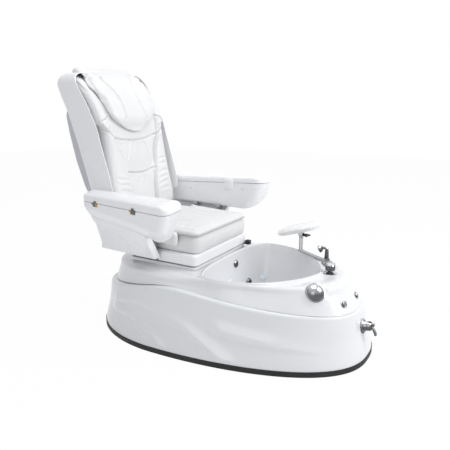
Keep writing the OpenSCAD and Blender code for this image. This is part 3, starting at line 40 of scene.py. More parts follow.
import bpy
import bmesh
import numpy as np
from bpy.props import FloatProperty, FloatVectorProperty, IntProperty
from mathutils import Vector
from mathutils.bvhtree import BVHTree

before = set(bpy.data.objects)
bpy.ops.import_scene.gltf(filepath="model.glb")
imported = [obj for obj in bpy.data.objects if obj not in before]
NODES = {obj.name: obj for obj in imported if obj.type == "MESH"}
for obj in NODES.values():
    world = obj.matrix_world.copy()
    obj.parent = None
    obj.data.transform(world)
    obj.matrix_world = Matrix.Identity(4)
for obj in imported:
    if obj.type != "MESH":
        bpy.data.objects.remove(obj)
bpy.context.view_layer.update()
DRAWING_Y = -24.0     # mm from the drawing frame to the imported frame

# ---------------------------------------------------------------- numbers and curves


def smooth(v):
    """0 to 1 as v goes from 0 to 1, level at both ends."""
    c = np.clip(v, 0.0, 1.0)
    return c * c * (3 - 2 * c)


def mix(a, b, f):
    return a + (b - a) * f


def spow(v, e):
    """A power that keeps the sign."""
    return np.sign(v) * np.abs(v) ** e


def lookup(v, table):
    keys, values = zip(*table)
    return np.interp(v, keys, values)


def soft_lookup(v, table, reach=24.0):
    """A table read with its corners rounded over the given reach."""
    steps = np.linspace(-1, 1, 9)
    weights = 1 - 0.8 * np.abs(steps)
    return sum(w * lookup(v + s * reach, table) for s, w in zip(steps, weights)) / weights.sum()


def bell(d, w):
    return np.exp(-(d / w) ** 2)


def splined(rings, steps, loop=False):
    """Rings with more between them, on a smooth curve through each column of points."""
    r = np.array(rings, float)
    m = len(r)
    out = []
    gaps = [max(np.linalg.norm(r[(j + 1) % m] - r[j], axis=1).mean(), 1e-6) for j in range(m)]
    for j in range(m if loop else m - 1):
        p1, p2, d = r[j], r[(j + 1) % m], gaps[j]
        start = loop or j > 0
        end = loop or j < m - 2
        chord = (p2 - p1) / d
        t1 = t2 = chord
        if start:
            p0, e = r[j - 1], gaps[j - 1]
            t1 = ((p1 - p0) / e * d + chord * e) / (d + e)
        if end:
            p3, e = r[(j + 2) % m], gaps[(j + 1) % m]
            t2 = ((p3 - p2) / e * d + chord * e) / (d + e)
        for u in np.arange(steps) / steps:
            out.append((2 * u ** 3 - 3 * u ** 2 + 1) * p1 + (u ** 3 - 2 * u ** 2 + u) * d * t1
                       + (3 * u ** 2 - 2 * u ** 3) * p2 + (u ** 3 - u ** 2) * d * t2)
    if not loop:
        out.append(r[-1])
    return out


def filleted(points, radii, n=4):
    """An open line of 2-D points with its inner corners rounded."""
    pts = [np.array(p, float) for p in points]
    out = [pts[0]]
    for k in range(1, len(pts) - 1):
        a, p, b = pts[k - 1], pts[k], pts[k + 1]
        la, lb = np.linalg.norm(a - p), np.linalg.norm(b - p)
        r = min(radii[k] if np.ndim(radii) else radii, 0.45 * la, 0.45 * lb)
        s, e = p + (a - p) / la * r, p + (b - p) / lb * r
        for u in np.linspace(0, 1, n + 1):
            out.append((1 - u) ** 2 * s + 2 * u * (1 - u) * p + u * u * e)
    out.append(pts[-1])
    return np.array(out)


def rrect(half, lo, hi, r, i=0.0, n=12, m=8):
    """Round-cornered outline inset by i: n steps along a side, m round a corner."""
    h, a, b, q = half - i, lo + i, hi - i, max(r - i, 2)
    side, turn = np.arange(n) / n, np.radians(90 * np.arange(m) / m)
    c, s = np.cos(turn), np.sin(turn)
    one = np.ones(n)
    return np.vstack([
        np.column_stack([h * one, mix(a + q, b - q, side)]),
        np.column_stack([h - q + q * c, b - q + q * s]),
        np.column_stack([mix(h - q, q - h, side), b * one]),
        np.column_stack([q - h - q * s, b - q + q * c]),
        np.column_stack([-h * one, mix(b - q, a + q, side)]),
        np.column_stack([q - h - q * c, a + q - q * s]),
        np.column_stack([mix(q - h, h - q, side), a * one]),
        np.column_stack([h - q + q * s, a + q - q * c])])


# ---------------------------------------------------------------- meshes


def to_model(points):
    """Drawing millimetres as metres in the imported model's frame."""
    return (np.asarray(points, float) + (0, DRAWING_Y, 0)) / 1000


def to_drawing(points):
    return np.asarray(points, float) * 1000 - (0, DRAWING_Y, 0)


def ring_mesh(rings, loop=False):
    """Points and faces of a skin over rings; its ends are closed, or joined where loop is true."""
    n, m = len(rings[0]), len(rings)
    points = np.vstack(rings)
    faces = []
    for j in range(m if loop else m - 1):
        k = (j + 1) % m
        faces += [(j * n + i, j * n + (i + 1) % n, k * n + (i + 1) % n, k * n + i)
                  for i in range(n)]
    if not loop:
        for row, centre in ((0, len(points)), (m - 1, len(points) + 1)):
            faces += [(row * n + i, row * n + (i + 1) % n, centre) for i in range(n)]
        points = np.vstack([points, rings[0].mean(0), rings[-1].mean(0)])
    return points, faces


def new_object(name, points, faces):
    """An object from millimetre points, with its faces turned outwards."""
    mesh = bpy.data.meshes.new(name)
    mesh.from_pydata(to_model(points).tolist(), [], [list(f) for f in faces])
    bm = bmesh.new()
    bm.from_mesh(mesh)
    bmesh.ops.remove_doubles(bm, verts=bm.verts, dist=1e-5)
    bmesh.ops.dissolve_degenerate(bm, edges=bm.edges, dist=1e-6)
    bmesh.ops.recalc_face_normals(bm, faces=bm.faces)
    bm.to_mesh(mesh)
    bm.free()
    obj = bpy.data.objects.new(name, mesh)
    bpy.context.scene.collection.objects.link(obj)
    return obj


def skin(name, rings, loop=False, side=1):
    """An object over rings, mirrored across the middle where side is -1."""
    points, faces = ring_mesh(rings, loop)
    return new_object(name, flip_x(points, side), faces)


def flip_x(points, side):
    return points * (-1, 1, 1) if side < 0 else points


def take_shape(obj):
    """Gives an object the mesh that its modifiers make, and drops the modifiers."""
    bpy.context.view_layer.update()
    evaluated = obj.evaluated_get(bpy.context.evaluated_depsgraph_get())
    mesh = bpy.data.meshes.new_from_object(evaluated)
    old = obj.data
    obj.modifiers.clear()
    obj.data = mesh
    bpy.data.meshes.remove(old)
    mesh.name = obj.name


def cut(obj, *tools, how="DIFFERENCE", solver="EXACT"):
    """Cuts tools out of obj, or keeps what they share, and deletes the tools."""
    for tool in tools:
        m = obj.modifiers.new("cut", "BOOLEAN")
        m.operation, m.solver, m.object = how, solver, tool
        take_shape(obj)
    for tool in tools:
        mesh = tool.data
        bpy.data.objects.remove(tool)
        bpy.data.meshes.remove(mesh)


def block(x0, x1, y0, y1, z0, z1):
    """A cutting tool, in drawing millimetres."""
    points = [(x, y, z) for z in (z0, z1) for y in (y0, y1) for x in (x0, x1)]
    faces = [(0, 1, 3, 2), (4, 6, 7, 5), (0, 4, 5, 1), (1, 5, 7, 3), (3, 7, 6, 2), (2, 6, 4, 0)]
    return new_object("tool", points, faces)


def drill(spot, way, radius, back, front, n=48):
    """A round cutting tool along a direction, in drawing millimetres."""
    w = np.array(way, float) / np.linalg.norm(way)
    u = np.cross(w, (0.3, 0.2, 1) if abs(w[2]) < 0.9 else (1, 0.2, 0))
    u /= np.linalg.norm(u)
    v = np.cross(w, u)
    turn = np.radians(360 * np.arange(n) / n)[:, None]
    rim = np.array(spot) + radius * (np.cos(turn) * u + np.sin(turn) * v)
    return skin("tool", [rim + w * back, rim + w * front])


def smooth_shading(obj, angle):
    mesh = obj.data
    mesh.shade_smooth()
    mesh.set_sharp_from_angle(angle=math.radians(angle))


def coords(obj):
    co = np.empty(len(obj.data.vertices) * 3, np.float32)
    obj.data.vertices.foreach_get("co", co)
    return co.reshape(-1, 3).astype(float)


def set_coords(obj, co):
    obj.data.vertices.foreach_set("co", np.asarray(co, np.float32).ravel())
    obj.data.update()


def normals(obj):
    no = np.empty(len(obj.data.vertices) * 3, np.float32)
    obj.data.vertex_normals.foreach_get("vector", no)
    return no.reshape(-1, 3).astype(float)


def finish(obj, look, body, nodes=(), angle=40):
    """Gives a new piece its finish, its body, and the CAD nodes that it stands for."""
    smooth_shading(obj, angle)
    obj.data.materials.clear()
    obj.data.materials.append(FINISHES[look])
    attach(obj, body)
    if nodes:
        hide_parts(*nodes)
    return obj


# ---------------------------------------------------------------- finishes


def node_of(tree, kind, **values):
    node = tree.nodes.new(kind)
    for key, value in values.items():
        setattr(node, key, value)
    return node


def noise_of(tree, place, scale, detail=3.0, rough=0.5):
    node = node_of(tree, "ShaderNodeTexNoise")
    node.inputs["Scale"].default_value = scale
    node.inputs["Detail"].default_value = detail
    node.inputs["Roughness"].default_value = rough
    tree.links.new(place, node.inputs["Vector"])
    return node.outputs["Fac"]


def spread(tree, source, low, high, start=0.3, end=0.7):
    """A value between start and end, by default a noise's, spread from low to high."""
    node = node_of(tree, "ShaderNodeMapRange")
    for key, value in (("From Min", start), ("From Max", end), ("To Min", low), ("To Max", high)):
        node.inputs[key].default_value = value
    tree.links.new(source, node.inputs["Value"])
    return node.outputs["Result"]


def tinted(tree, factor, colour, other):
    """Two colours, or the sockets that carry them, mixed by a factor."""
    node = node_of(tree, "ShaderNodeMix", data_type="RGBA")
    for k, value in ((6, colour), (7, other)):
        if isinstance(value, bpy.types.NodeSocket):
            tree.links.new(value, node.inputs[k])
        else:
            node.inputs[k].default_value = (*value, 1)
    tree.links.new(factor, node.inputs[0])
    return node.outputs[2]


def finish_of(name, colour, other, rough, tint_scale=6.0, rough_scale=30.0, bump=None, coat=0.0,
              coat_rough=0.05, metallic=0.0, sheen=0.0, specular=0.5, stretch=None, zone=None,
              painted_reflection_up=None):
    """A material whose tint, roughness and relief all vary over the surface.

    rough is (least, most); bump is a list of (kind, scale, depth in mm, strength). zone is
    (start, end, colour) of a band along Y. The colour for faces turned upwards is a painted
    reflection of bright light above."""
    material = bpy.data.materials.new(name)
    material.use_nodes = True
    tree = material.node_tree
    shader = tree.nodes["Principled BSDF"]
    place = node_of(tree, "ShaderNodeTexCoord").outputs["Object"]
    if stretch:
        scaled = node_of(tree, "ShaderNodeMapping")
        scaled.inputs["Scale"].default_value = stretch
        tree.links.new(place, scaled.inputs["Vector"])
        place = scaled.outputs["Vector"]
    tint = spread(tree, noise_of(tree, place, tint_scale, 2.0), 0, 1)
    paint = tinted(tree, tint, colour, other)
    # Faces turned upwards are painted lighter: a painted reflection of the bright light above.
    if painted_reflection_up:
        up = node_of(tree, "ShaderNodeSeparateXYZ")
        tree.links.new(node_of(tree, "ShaderNodeTexCoord").outputs["Normal"], up.inputs[0])
        paint = tinted(tree, spread(tree, up.outputs["Z"], 0, 1, 0.2, 1.0), paint, painted_reflection_up)
    if zone:
        along = node_of(tree, "ShaderNodeSeparateXYZ")
        tree.links.new(place, along.inputs[0])
        off = node_of(tree, "ShaderNodeMath", operation="COMPARE")
        tree.links.new(along.outputs["Y"], off.inputs[0])
        off.inputs[1].default_value = (zone[0] + zone[1]) / 2
        off.inputs[2].default_value = (zone[1] - zone[0]) / 2
        paint = tinted(tree, off.outputs[0], paint, zone[2])
    tree.links.new(paint, shader.inputs["Base Color"])
    tree.links.new(spread(tree, noise_of(tree, place, rough_scale, 2.0), *rough),
                   shader.inputs["Roughness"])
    shader.inputs["Metallic"].default_value = metallic
    shader.inputs["Specular IOR Level"].default_value = specular
    shader.inputs["Coat Weight"].default_value = coat
    shader.inputs["Coat Roughness"].default_value = coat_rough
    shader.inputs["Sheen Weight"].default_value = sheen
    normal = None
    for kind, scale, depth, strength in bump or ():
        if kind == "cells":
            source = node_of(tree, "ShaderNodeTexVoronoi", feature="DISTANCE_TO_EDGE")
            source.inputs["Scale"].default_value = scale
            tree.links.new(place, source.inputs["Vector"])
            height = spread(tree, source.outputs["Distance"], 0, 1, 0.0, 0.35)
        else:
            height = noise_of(tree, place, scale, 4.0, 0.55)
        relief = node_of(tree, "ShaderNodeBump")
        relief.inputs["Strength"].default_value = strength
        relief.inputs["Distance"].default_value = depth / 1000
        tree.links.new(height, relief.inputs["Height"])
        if normal:
            tree.links.new(normal, relief.inputs["Normal"])
        normal = relief.outputs["Normal"]
    if normal:
        tree.links.new(normal, shader.inputs["Normal"])
    return material


def shade_of(colour, f):
    return tuple(min(1.0, c * f) for c in colour)


HINGE_BRASS = (0.185, 0.467)     # m along Y between which the hinges are brass, and dark outside it


def make_finishes(look):
    """Every finish of the chair, by name."""
    gel, shell = tuple(look.gelcoat), tuple(look.seat_shell)
    hide, cover = tuple(look.leather), tuple(look.cover)
    return {
        "gelcoat": finish_of("gelcoat", gel, shade_of(gel, 0.975), (0.19, 0.25), 2.5, 3,
                             [("noise", 5, 1.0, 0.06), ("noise", 420, 0.03, 0.12)], coat=0.3),
        "shell": finish_of("seat_shell", shell, shade_of(shell, 0.98), (0.24, 0.30), 2.5, 3,
                           [("noise", 5, 0.8, 0.05), ("noise", 520, 0.03, 0.15)], coat=0.15),
        # Rear cover painted a mid grey, darker than the shell: painted shade over the chair's rear.
        "cover": finish_of("rear_cover_painted_shade", cover, shade_of(cover, 0.94), (0.30, 0.42), 6, 60,
                           [("noise", 700, 0.05, 0.35)]),
        "leather": finish_of("leather", hide, shade_of(hide, 0.955), (0.36, 0.52), 7, 90,
                             [("noise", 38, 0.9, 0.16), ("cells", 620, 0.12, 0.30)], sheen=0.12),
        # Grey cords in the seams and along the seat pad's foot: their grey is painted shade in seams and
        # joints.
        "piping_painted_shade": finish_of("piping_painted_shade", shade_of(hide, 0.66), shade_of(hide, 0.54), (0.45, 0.6),
                            40, 200, [("cells", 900, 0.1, 0.4)], sheen=0.1),
        # A grey sheet in the gap between the back cushion and the shell: painted shade of that gap.
        "gap_shade": finish_of("gap_shade_sheet", (0.46, 0.46, 0.47), (0.36, 0.36, 0.37), (0.85, 0.95), 30, 60,
                          [("noise", 900, 0.3, 0.6)], sheen=0.2),
        "rubber": finish_of("trim_rubber", (0.010, 0.010, 0.011), (0.022, 0.022, 0.023),
                            (0.45, 0.7), 14, 120, [("noise", 500, 0.08, 0.4)], specular=0.35),
        # Chrome: painted reflections, dark on its sides as of a dark room, light on faces turned upwards.
        "chrome": finish_of("chrome", (0.15, 0.155, 0.165), (0.10, 0.105, 0.115), (0.05, 0.14),
                            20, 80, [("noise", 60, 0.05, 0.1)], metallic=1.0,
                            painted_reflection_up=(0.66, 0.67, 0.69)),
        "steel": finish_of("brushed_steel", (0.50, 0.51, 0.52), (0.40, 0.41, 0.42), (0.28, 0.45),
                           10, 160, [("noise", 420, 0.04, 0.4)], metallic=1.0,
                           stretch=(1, 1, 0.12)),
        "screw": finish_of("screw_steel", (0.55, 0.56, 0.57), (0.44, 0.45, 0.46), (0.2, 0.4),
                           60, 300, [("noise", 800, 0.04, 0.4)], metallic=1.0),
        "cap": finish_of("cap_plastic", (0.86, 0.86, 0.86), (0.80, 0.80, 0.80), (0.15, 0.3),
                         40, 120, [("noise", 400, 0.04, 0.3)], coat=0.2),
        "black": finish_of("black_plastic", (0.012, 0.012, 0.013), (0.028, 0.028, 0.030),
                           (0.35, 0.6), 20, 140, [("noise", 900, 0.08, 0.5)], specular=0.4),
        "pipe": finish_of("pipe_plastic", (0.62, 0.62, 0.61), (0.52, 0.52, 0.51), (0.35, 0.55),
                          12, 80, [("noise", 300, 0.06, 0.4)]),
        "lamp": finish_of("lamp_lens", (0.82, 0.90, 0.95), (0.70, 0.80, 0.88), (0.04, 0.12),
                          60, 90, [("cells", 380, 0.3, 0.5)], coat=0.6),
        "pad": finish_of("pad_plastic", (0.90, 0.90, 0.895), (0.86, 0.86, 0.855), (0.14, 0.28),
                         8, 40, [("noise", 300, 0.05, 0.25)], coat=0.3),
        "hinge": finish_of("hinge_metal", (0.16, 0.165, 0.17), (0.10, 0.105, 0.11), (0.2, 0.4),
                           60, 260, [("noise", 500, 0.05, 0.4)], metallic=1.0,
                           zone=(*HINGE_BRASS, (0.50, 0.30, 0.10))),
        "board": finish_of("board", (0.60, 0.42, 0.24), (0.44, 0.29, 0.15), (0.6, 0.8), 9, 40,
                           [("noise", 90, 0.3, 0.4)], stretch=(1, 1, 0.15)),
    }


FINISHES = {}
NODE_FINISH = {      # the finish of each CAD node that stays, and the width in mm of its softened edges
    "levelling_feet": ("black", 0.6), "base_frame": ("steel", 0), "frame_posts": ("steel", 0),
    "panel_screws": ("screw", 0.3), "seat_plinth": ("gelcoat", 2.0), "slide_rails": ("steel", 0.4),
    "jet_pump": ("black", 0.8), "pipes": ("pipe", 0), "jets": ("chrome", 0.5),
    "basin_light": ("lamp", 0.4), "suction_cover": ("cap", 0.5), "drain_body": ("chrome", 0.4),
    "drain_plug": ("chrome", 0.6), "control_box": ("black", 1.5), "mixer_body": ("chrome", 0.8),
    "mixer_cap": ("chrome", 0.8), "mixer_lever": ("chrome", 0.8), "deck_bezels": ("chrome", 0.7),
    "dome_knob": ("chrome", 0.6), "fluted_knob": ("chrome", 0.6),
    "air_button_right": ("chrome", 0.5), "air_button_left": ("chrome", 0.5),
    "shower_socket": ("chrome", 0.5), "hand_shower": ("chrome", 0.5),
    "footrest_pivot": ("steel", 0.8), "footrest_arm": ("steel", 1.0),
    "footrest_post": ("steel", 0.5), "tilt_lever": ("black", 1.0), "footrest_pad": ("pad", 1.2),
    "slide_lever": ("black", 1.5), "seat_frame": ("steel", 0.5), "arm_screws": ("cap", 0.4),
    "lid_latch_right": ("shell", 0.8), "lid_latch_left": ("shell", 0.8),
    "arm_hinges": ("hinge", 0.4), "lid_leaves_right": ("hinge", 0.4),
    "lid_leaves_left": ("hinge", 0.4), "back_frame": ("steel", 0), "back_board": ("board", 0),
    "massage_rails": ("steel", 0), "massage_carriage": ("black", 0.6),
    "massage_rollers": ("rubber", 0.8),
}


CORNER_WELD, BEVEL_OVER, SHARP_OVER = 2e-5, 38, 35      # m, degrees, degrees


def dress_node(name, material, bevel):
    """A CAD node keeps its shape: it gets a finish, softened edges and smooth shading."""
    obj = NODES[name]
    obj.data.materials.clear()
    obj.data.materials.append(material)
    if obj.data.has_custom_normals:
        obj.data.attributes.remove(obj.data.attributes["custom_normal"])
    obj.data.shade_smooth()
    weld = obj.modifiers.new("join_corners", "WELD")
    weld.merge_threshold = CORNER_WELD
    if bevel:
        edge = obj.modifiers.new("soft_edges", "BEVEL")
        edge.width = bevel / 1000
        edge.segments = 2
        edge.limit_method = "ANGLE"
        edge.angle_limit = math.radians(BEVEL_OVER)
        edge.use_clamp_overlap = True
    shade = obj.modifiers.new("smooth_by_angle", "NODES")
    shade.node_group = smooth_by_angle()


def smooth_by_angle():
    """Geometry nodes that keep only the edges over SHARP_OVER degrees sharp."""
    group = bpy.data.node_groups.get("smooth_by_angle")
    if group:
        return group
    group = bpy.data.node_groups.new("smooth_by_angle", "GeometryNodeTree")
    group.interface.new_socket("Geometry", in_out="INPUT", socket_type="NodeSocketGeometry")
    group.interface.new_socket("Geometry", in_out="OUTPUT", socket_type="NodeSocketGeometry")
    start, end = group.nodes.new("NodeGroupInput"), group.nodes.new("NodeGroupOutput")
    angle = group.nodes.new("GeometryNodeInputMeshEdgeAngle")
    over = group.nodes.new("FunctionNodeCompare")
    over.data_type, over.operation = "FLOAT", "GREATER_THAN"
    over.inputs[1].default_value = math.radians(SHARP_OVER)
    sharp = group.nodes.new("GeometryNodeSetShadeSmooth")
    sharp.domain = "EDGE"
    sharp.inputs["Shade Smooth"].default_value = False
    link = group.links.new
    link(angle.outputs["Unsigned Angle"], over.inputs[0])
    link(start.outputs[0], sharp.inputs["Geometry"])
    link(over.outputs[0], sharp.inputs["Selection"])
    link(sharp.outputs[0], end.inputs[0])
    return group


# ---------------------------------------------------------------- base and foot bath

BASE_HALF, BASE_FRONT, BASE_REAR, BASE_WIDE_Y = 481.0, 983.0, 537.0, 160.0
TRIM_H, TRIM_LIP, SKIRT_WALL, GAP = 28.0, 3.0, 5.0, 0.3
BASIN_HALF, BASIN_FRONT, BASIN_REAR, BASIN_WIDE_Y = 350.0, 402.0, 125.0, -150.0
RIM_Z, RIM_W, DECK_Z, DECK_EDGE, BASIN_FLOOR, TUB_WALL = 403.0, 34.0, 391.0, 368.0, 150.0, 5.0
DECK_INSET = 102.0
FRONT_FROM, FRONT_OVER = 450.0, 300.0       # how far ahead the front's own shape starts, and over how much
LEDGE_TOP, LEDGE_Y, LEDGE_SLOPE, LEDGE_FALL, LEDGE_ROUND = 337.0, 70.0, 0.034, 0.134, 80.0
# the skirt's lean, in mm in per mm up, and the curve at its foot
LEAN, FRONT_LEAN, FOOT_IN, FOOT_OVER = 0.115, 0.05, 13.0, 130.0
STEP_WIDE, STEP_FRONT_LOSS = 18.0, 0.8
CREST_OVER, CREST_UNDER = 38.0, 13.0        # widths of a wave above and below its crest
# top, its Y, fall to the front and that fall's power, slope to the rear
UPPER_WAVE = (247, 250, 0.0098, 1.6, 0.23)
LOWER_WAVE = (157, 350, 0.00056, 2.2, 0.05)
FORE_WAVE_Z, FORE_WAVE_RISE = 214, 0.142


def egg(t, i):
    """The base's outline at angle t in radians, drawn in by i."""
    c, s = np.cos(t), np.sin(t)
    length = np.where(s >= 0, BASE_REAR, BASE_FRONT) - i
    return (BASE_HALF - i) * spow(c, 0.8), BASE_WIDE_Y + length * s


def basin(t, i):
    """The basin's outline, pointed to the front and squarer at the rear."""
    c, s = np.cos(t), np.sin(t)
    back = s >= 0
    x = (BASIN_HALF - i) * spow(c, np.where(back, 2 / 3, 4 / 3))
    y = np.where(back, (BASIN_REAR - 0.35 * i) * np.abs(s) ** (2 / 3), (BASIN_FRONT - i) * s)
    return x, BASIN_WIDE_Y + y


def front_share(t):
    return smooth((-egg(t, 0)[1] - FRONT_FROM) / FRONT_OVER)


def ledge_z(t):
    """Height of the ledge, which falls both ways from its rounded top."""
    d = egg(t, 0)[1] - LEDGE_Y
    return LEDGE_TOP - LEDGE_SLOPE * d - LEDGE_FALL * (np.sqrt(d * d + LEDGE_ROUND ** 2) - LEDGE_ROUND)


def skirt_in(t, z):
    """How far the skirt's face lies inside the base's outline."""
    up = z - TRIM_H
    lean = LEAN + FRONT_LEAN * front_share(t)
    return TRIM_LIP + GAP + lean * np.maximum(0, up) + FOOT_IN * smooth(up / FOOT_OVER)


def step_in(t):
    return STEP_WIDE * (1 - STEP_FRONT_LOSS * front_share(t))


def crest(d):
    return np.exp(-(d / np.where(d > 0, CREST_OVER, CREST_UNDER)) ** 2)


def crest_z(y, top, at, fall, power, slope):
    """Height of a wave's crest: a curve down to the front of its top, a slope down behind it."""
    return top - fall * np.maximum(0, at - y) ** power - slope * np.maximum(0, y - at)


def wave(t, z, rise):
    """How far the three moulded waves stand out of the skirt."""
    y = egg(t, 0)[1]
    rear = smooth((520 - y) / 90)
    front = smooth((-150 - y) / 90) * (1 - front_share(t))
    fade = smooth((z - TRIM_H) / 30) * smooth((ledge_z(t) - z) / 30)
    upper = rear * crest(z - crest_z(y, *UPPER_WAVE))
    lower = rear * crest(z - crest_z(y, *LOWER_WAVE))
    fore = front * crest(z - (FORE_WAVE_Z + FORE_WAVE_RISE * y))
    return rise * fade * np.maximum(np.maximum(upper, lower), fore)


def egg_ring(t, i, z):
    x, y = egg(t, i)
    return np.column_stack([x, y, np.broadcast_to(z, x.shape)])


def skirt_rings(shell):
    t = np.radians(360 * np.arange(shell.base_columns) / shell.base_columns)
    top, inner = ledge_z(t), skirt_in(t, ledge_z(t))
    rows = [egg_ring(t, TRIM_LIP + GAP, TRIM_H / 4 + GAP), egg_ring(t, TRIM_LIP + GAP, 16)]
    rise = shell.wave_rise * 1000
    for u in np.linspace(0, 1, shell.skirt_rows):
        z = mix(TRIM_H, top - 10, u)
        rows.append(egg_ring(t, skirt_in(t, z) - wave(t, z, rise), z))
    for a in np.radians([15, 30, 45, 60, 75, 90]):     # rounded outer edge of the ledge
        rows.append(egg_ring(t, inner + 9.5 * (1 - np.cos(a)), top - 9.5 + 9.5 * np.sin(a)))
    width = step_in(t) + 24
    rows += [egg_ring(t, inner + mix(9.5, width, f), top + 0.5 * min(1, 2 * f))
             for f in (0.33, 0.66, 1.0)]
    rows += [egg_ring(t, inner + width, top - SKIRT_WALL),
             egg_ring(t, inner + SKIRT_WALL + 12, top - SKIRT_WALL - 2),
             egg_ring(t, inner + SKIRT_WALL + 5, top - SKIRT_WALL - 10)]
    rows += [egg_ring(t, skirt_in(t, z) + SKIRT_WALL, z) for z in (200, 150, 80, TRIM_H)]
    rows.append(egg_ring(t, TRIM_LIP + GAP + SKIRT_WALL, TRIM_H / 4 + GAP))
    return rows


SERVICE_HALF, SERVICE_LOW, SERVICE_HIGH, SERVICE_GAP = 150, 60, 205, 0.8
SERVICE_FROM, SERVICE_TO = 430, 980         # the cut goes right through the skirt's rear


def service_block(gap):
    """Cutting tool for the service panel's opening in the rear of the skirt."""
    half = SERVICE_HALF - gap
    return block(-half, half, SERVICE_FROM, SERVICE_TO, SERVICE_LOW + gap, SERVICE_HIGH - gap)


def build_skirt(shell):
    rings = skirt_rings(shell)
    skirt = skin("skirt_moulding", rings, loop=True)
    panel = skin("service_panel", rings, loop=True)
    cut(skirt, service_block(0))
    cut(panel, service_block(SERVICE_GAP), how="INTERSECT")
    finish(skirt, "gelcoat", "base", ["skirt"])
    finish(panel, "gelcoat", "base", ["access_panel"])


def build_trim(shell):
    """Rubber trim: two lips over the skirt's foot, with a rounded top edge."""
    t = np.radians(360 * np.arange(shell.base_columns) / shell.base_columns)
    inner = TRIM_LIP + SKIRT_WALL + 2 * GAP
    slot = TRIM_H / 4
    line = filleted([(1.5, 0), (0, 2), (0, TRIM_H - 1.5), (1.2, TRIM_H), (TRIM_LIP, TRIM_H),
                     (TRIM_LIP, slot), (inner, slot), (inner, TRIM_H),
                     (inner + TRIM_LIP, TRIM_H), (inner + TRIM_LIP, 0)], 1.5, 3)
    finish(skin("foot_trim", [egg_ring(t, i, z) for i, z in line], loop=True),
           "rubber", "base", ["base_trim"])


# flat seats in the deck under its fittings: middle, direction, radius and the width of the blend
SEATS = [((-188.2, -602.1, 367.2), (-0.6, -0.53, 0.6), 49, 18), ((46, -592, 391), (0, 0, 1), 35, 14),
         ((222, -512, 391), (0, 0, 1), 25, 12), ((152, -549, 391), (0, 0, 1), 26, 12),
         ((-103.2, -714.4, 303.2), (-0.365, -0.803, 0.472), 20, 12),
         ((43.1, -730.3, 300.7), (0.053, -0.881, 0.47), 20, 12)]
SEAT_REACH = 45.0
# bores in the basin: middle, direction, radius and how far the tool reaches either way
BORES = [((0, -300, BASIN_FLOOR), (0, 0, 1), 26, 20), ((0, -43.8, 234), (0, -0.989, 0.149), 20, 25),
         ((85, -31.6, 336), (-0.024, -0.994, 0.107), 15, 25),
         ((189.8, -62.1, 200.2), (-0.209, -0.952, 0.222), 15, 25),
         ((-189.8, -62.1, 200.2), (0.209, -0.952, 0.222), 15, 25)]


def by_direction(outline):
    """Angle and reach of an outline as tables over the direction from the basin's middle."""
    t = np.radians(np.linspace(-90, 90, 2001))
    x, y = outline(t)
    return np.arctan2(y - BASIN_WIDE_Y, np.abs(x)), t


def tub_angles(ways, outline):
    """The outline's angle in each direction, from the table for the right half of it."""
    a, t = by_direction(outline)
    right, left = ways <= np.pi / 2, ways < 1.5 * np.pi
    folded = np.where(right, ways, np.where(left, np.pi - ways, ways - 2 * np.pi))
    found = np.interp(folded, a, t)
    return np.where(right, found, np.where(left, np.pi - found, found + 2 * np.pi))


def reach(p):
    return np.hypot(p[0], p[1] - BASIN_WIDE_Y)


def build_tub(shell):
    """Deck, rounded rim and basin in one moulding, with flat seats under the fittings."""
    ways = 2 * np.pi * np.arange(shell.tub_columns) / shell.tub_columns
    base_t = tub_angles(ways, lambda t: egg(t, DECK_INSET))
    bowl_t = tub_angles(ways, lambda t: basin(t, 0))
    rim = reach(basin(bowl_t, 0))
    edge = np.maximum(reach(egg(base_t, DECK_INSET + 26 * front_share(base_t))), rim + 16)
    share = np.minimum(RIM_W, 0.6 * (edge - rim)) / RIM_W
    ledge = ledge_z(base_t)
    foot = reach(egg(base_t, skirt_in(base_t, ledge) + step_in(base_t) + 6))

    def bowl(i, z):
        x, y = basin(bowl_t, i)
        return np.column_stack([x, y, np.full(len(x), float(z))])

    def out(r, z):
        return np.column_stack([r * np.cos(ways), BASIN_WIDE_Y + r * np.sin(ways),
                                np.broadcast_to(z, ways.shape)])

    def deck(f, z, w=0.0):
        return out(mix(rim + RIM_W * share, edge, f) - w, z)

    def wall(f, w=0.0):
        return out(mix(edge + 3, foot, f) - w, mix(DECK_EDGE - 10, ledge + 1.6, f))

    top = ([bowl(i, BASIN_FLOOR + z)
            for i, z in ((175, 0), (150, 0), (128, 0.5), (108, 4), (92, 12), (70, 44))]
           + [bowl(i, RIM_Z + z) for i, z in ((36, -130), (12, -58), (3, -14), (0, -5))]
           + [out(rim + i * share, RIM_Z + z) for i, z in ((3, -0.9), (8, 0), (17, -3), (26, -9))]
           + [deck(0.02, DECK_Z), deck(0.4, DECK_Z), deck(0.72, DECK_Z),
              deck(0.93, mix(DECK_EDGE, DECK_Z, 0.5)), deck(1, DECK_EDGE), wall(0.12), wall(0.5)])
    top = splined(top, 4) + splined([wall(0.5), wall(1)], 3)[1:]
    under = ([wall(1, TUB_WALL), wall(0.12, TUB_WALL)]
             + [deck(0.93, mix(DECK_EDGE, DECK_Z, 0.45) - 5, 5), deck(0.8, DECK_Z - 5, 5),
                deck(0, DECK_Z - 5, 3)]
             + [bowl(i, z)
                for i, z in ((7, 345), (31, 273), (63, 190), (85, 157), (126, 145), (175, 145))])
    upper = np.array(top)
    for spot, way, radius, soft in SEATS:
        w = np.array(way) / np.linalg.norm(way)
        off = upper - spot
        h = off @ w
        d = np.linalg.norm(off - h[..., None] * w, axis=-1)
        pull = h * smooth((radius + soft - d) / soft) * (np.abs(h) < SEAT_REACH)
        upper = upper - pull[..., None] * w
    tub = skin("tub_moulding", list(upper) + under)
    cut(tub, *[drill(spot, way, radius, -deep, deep) for spot, way, radius, deep in BORES])
    finish(tub, "gelcoat", "base", ["tub"])


# ---------------------------------------------------------------- seat tray and armrests


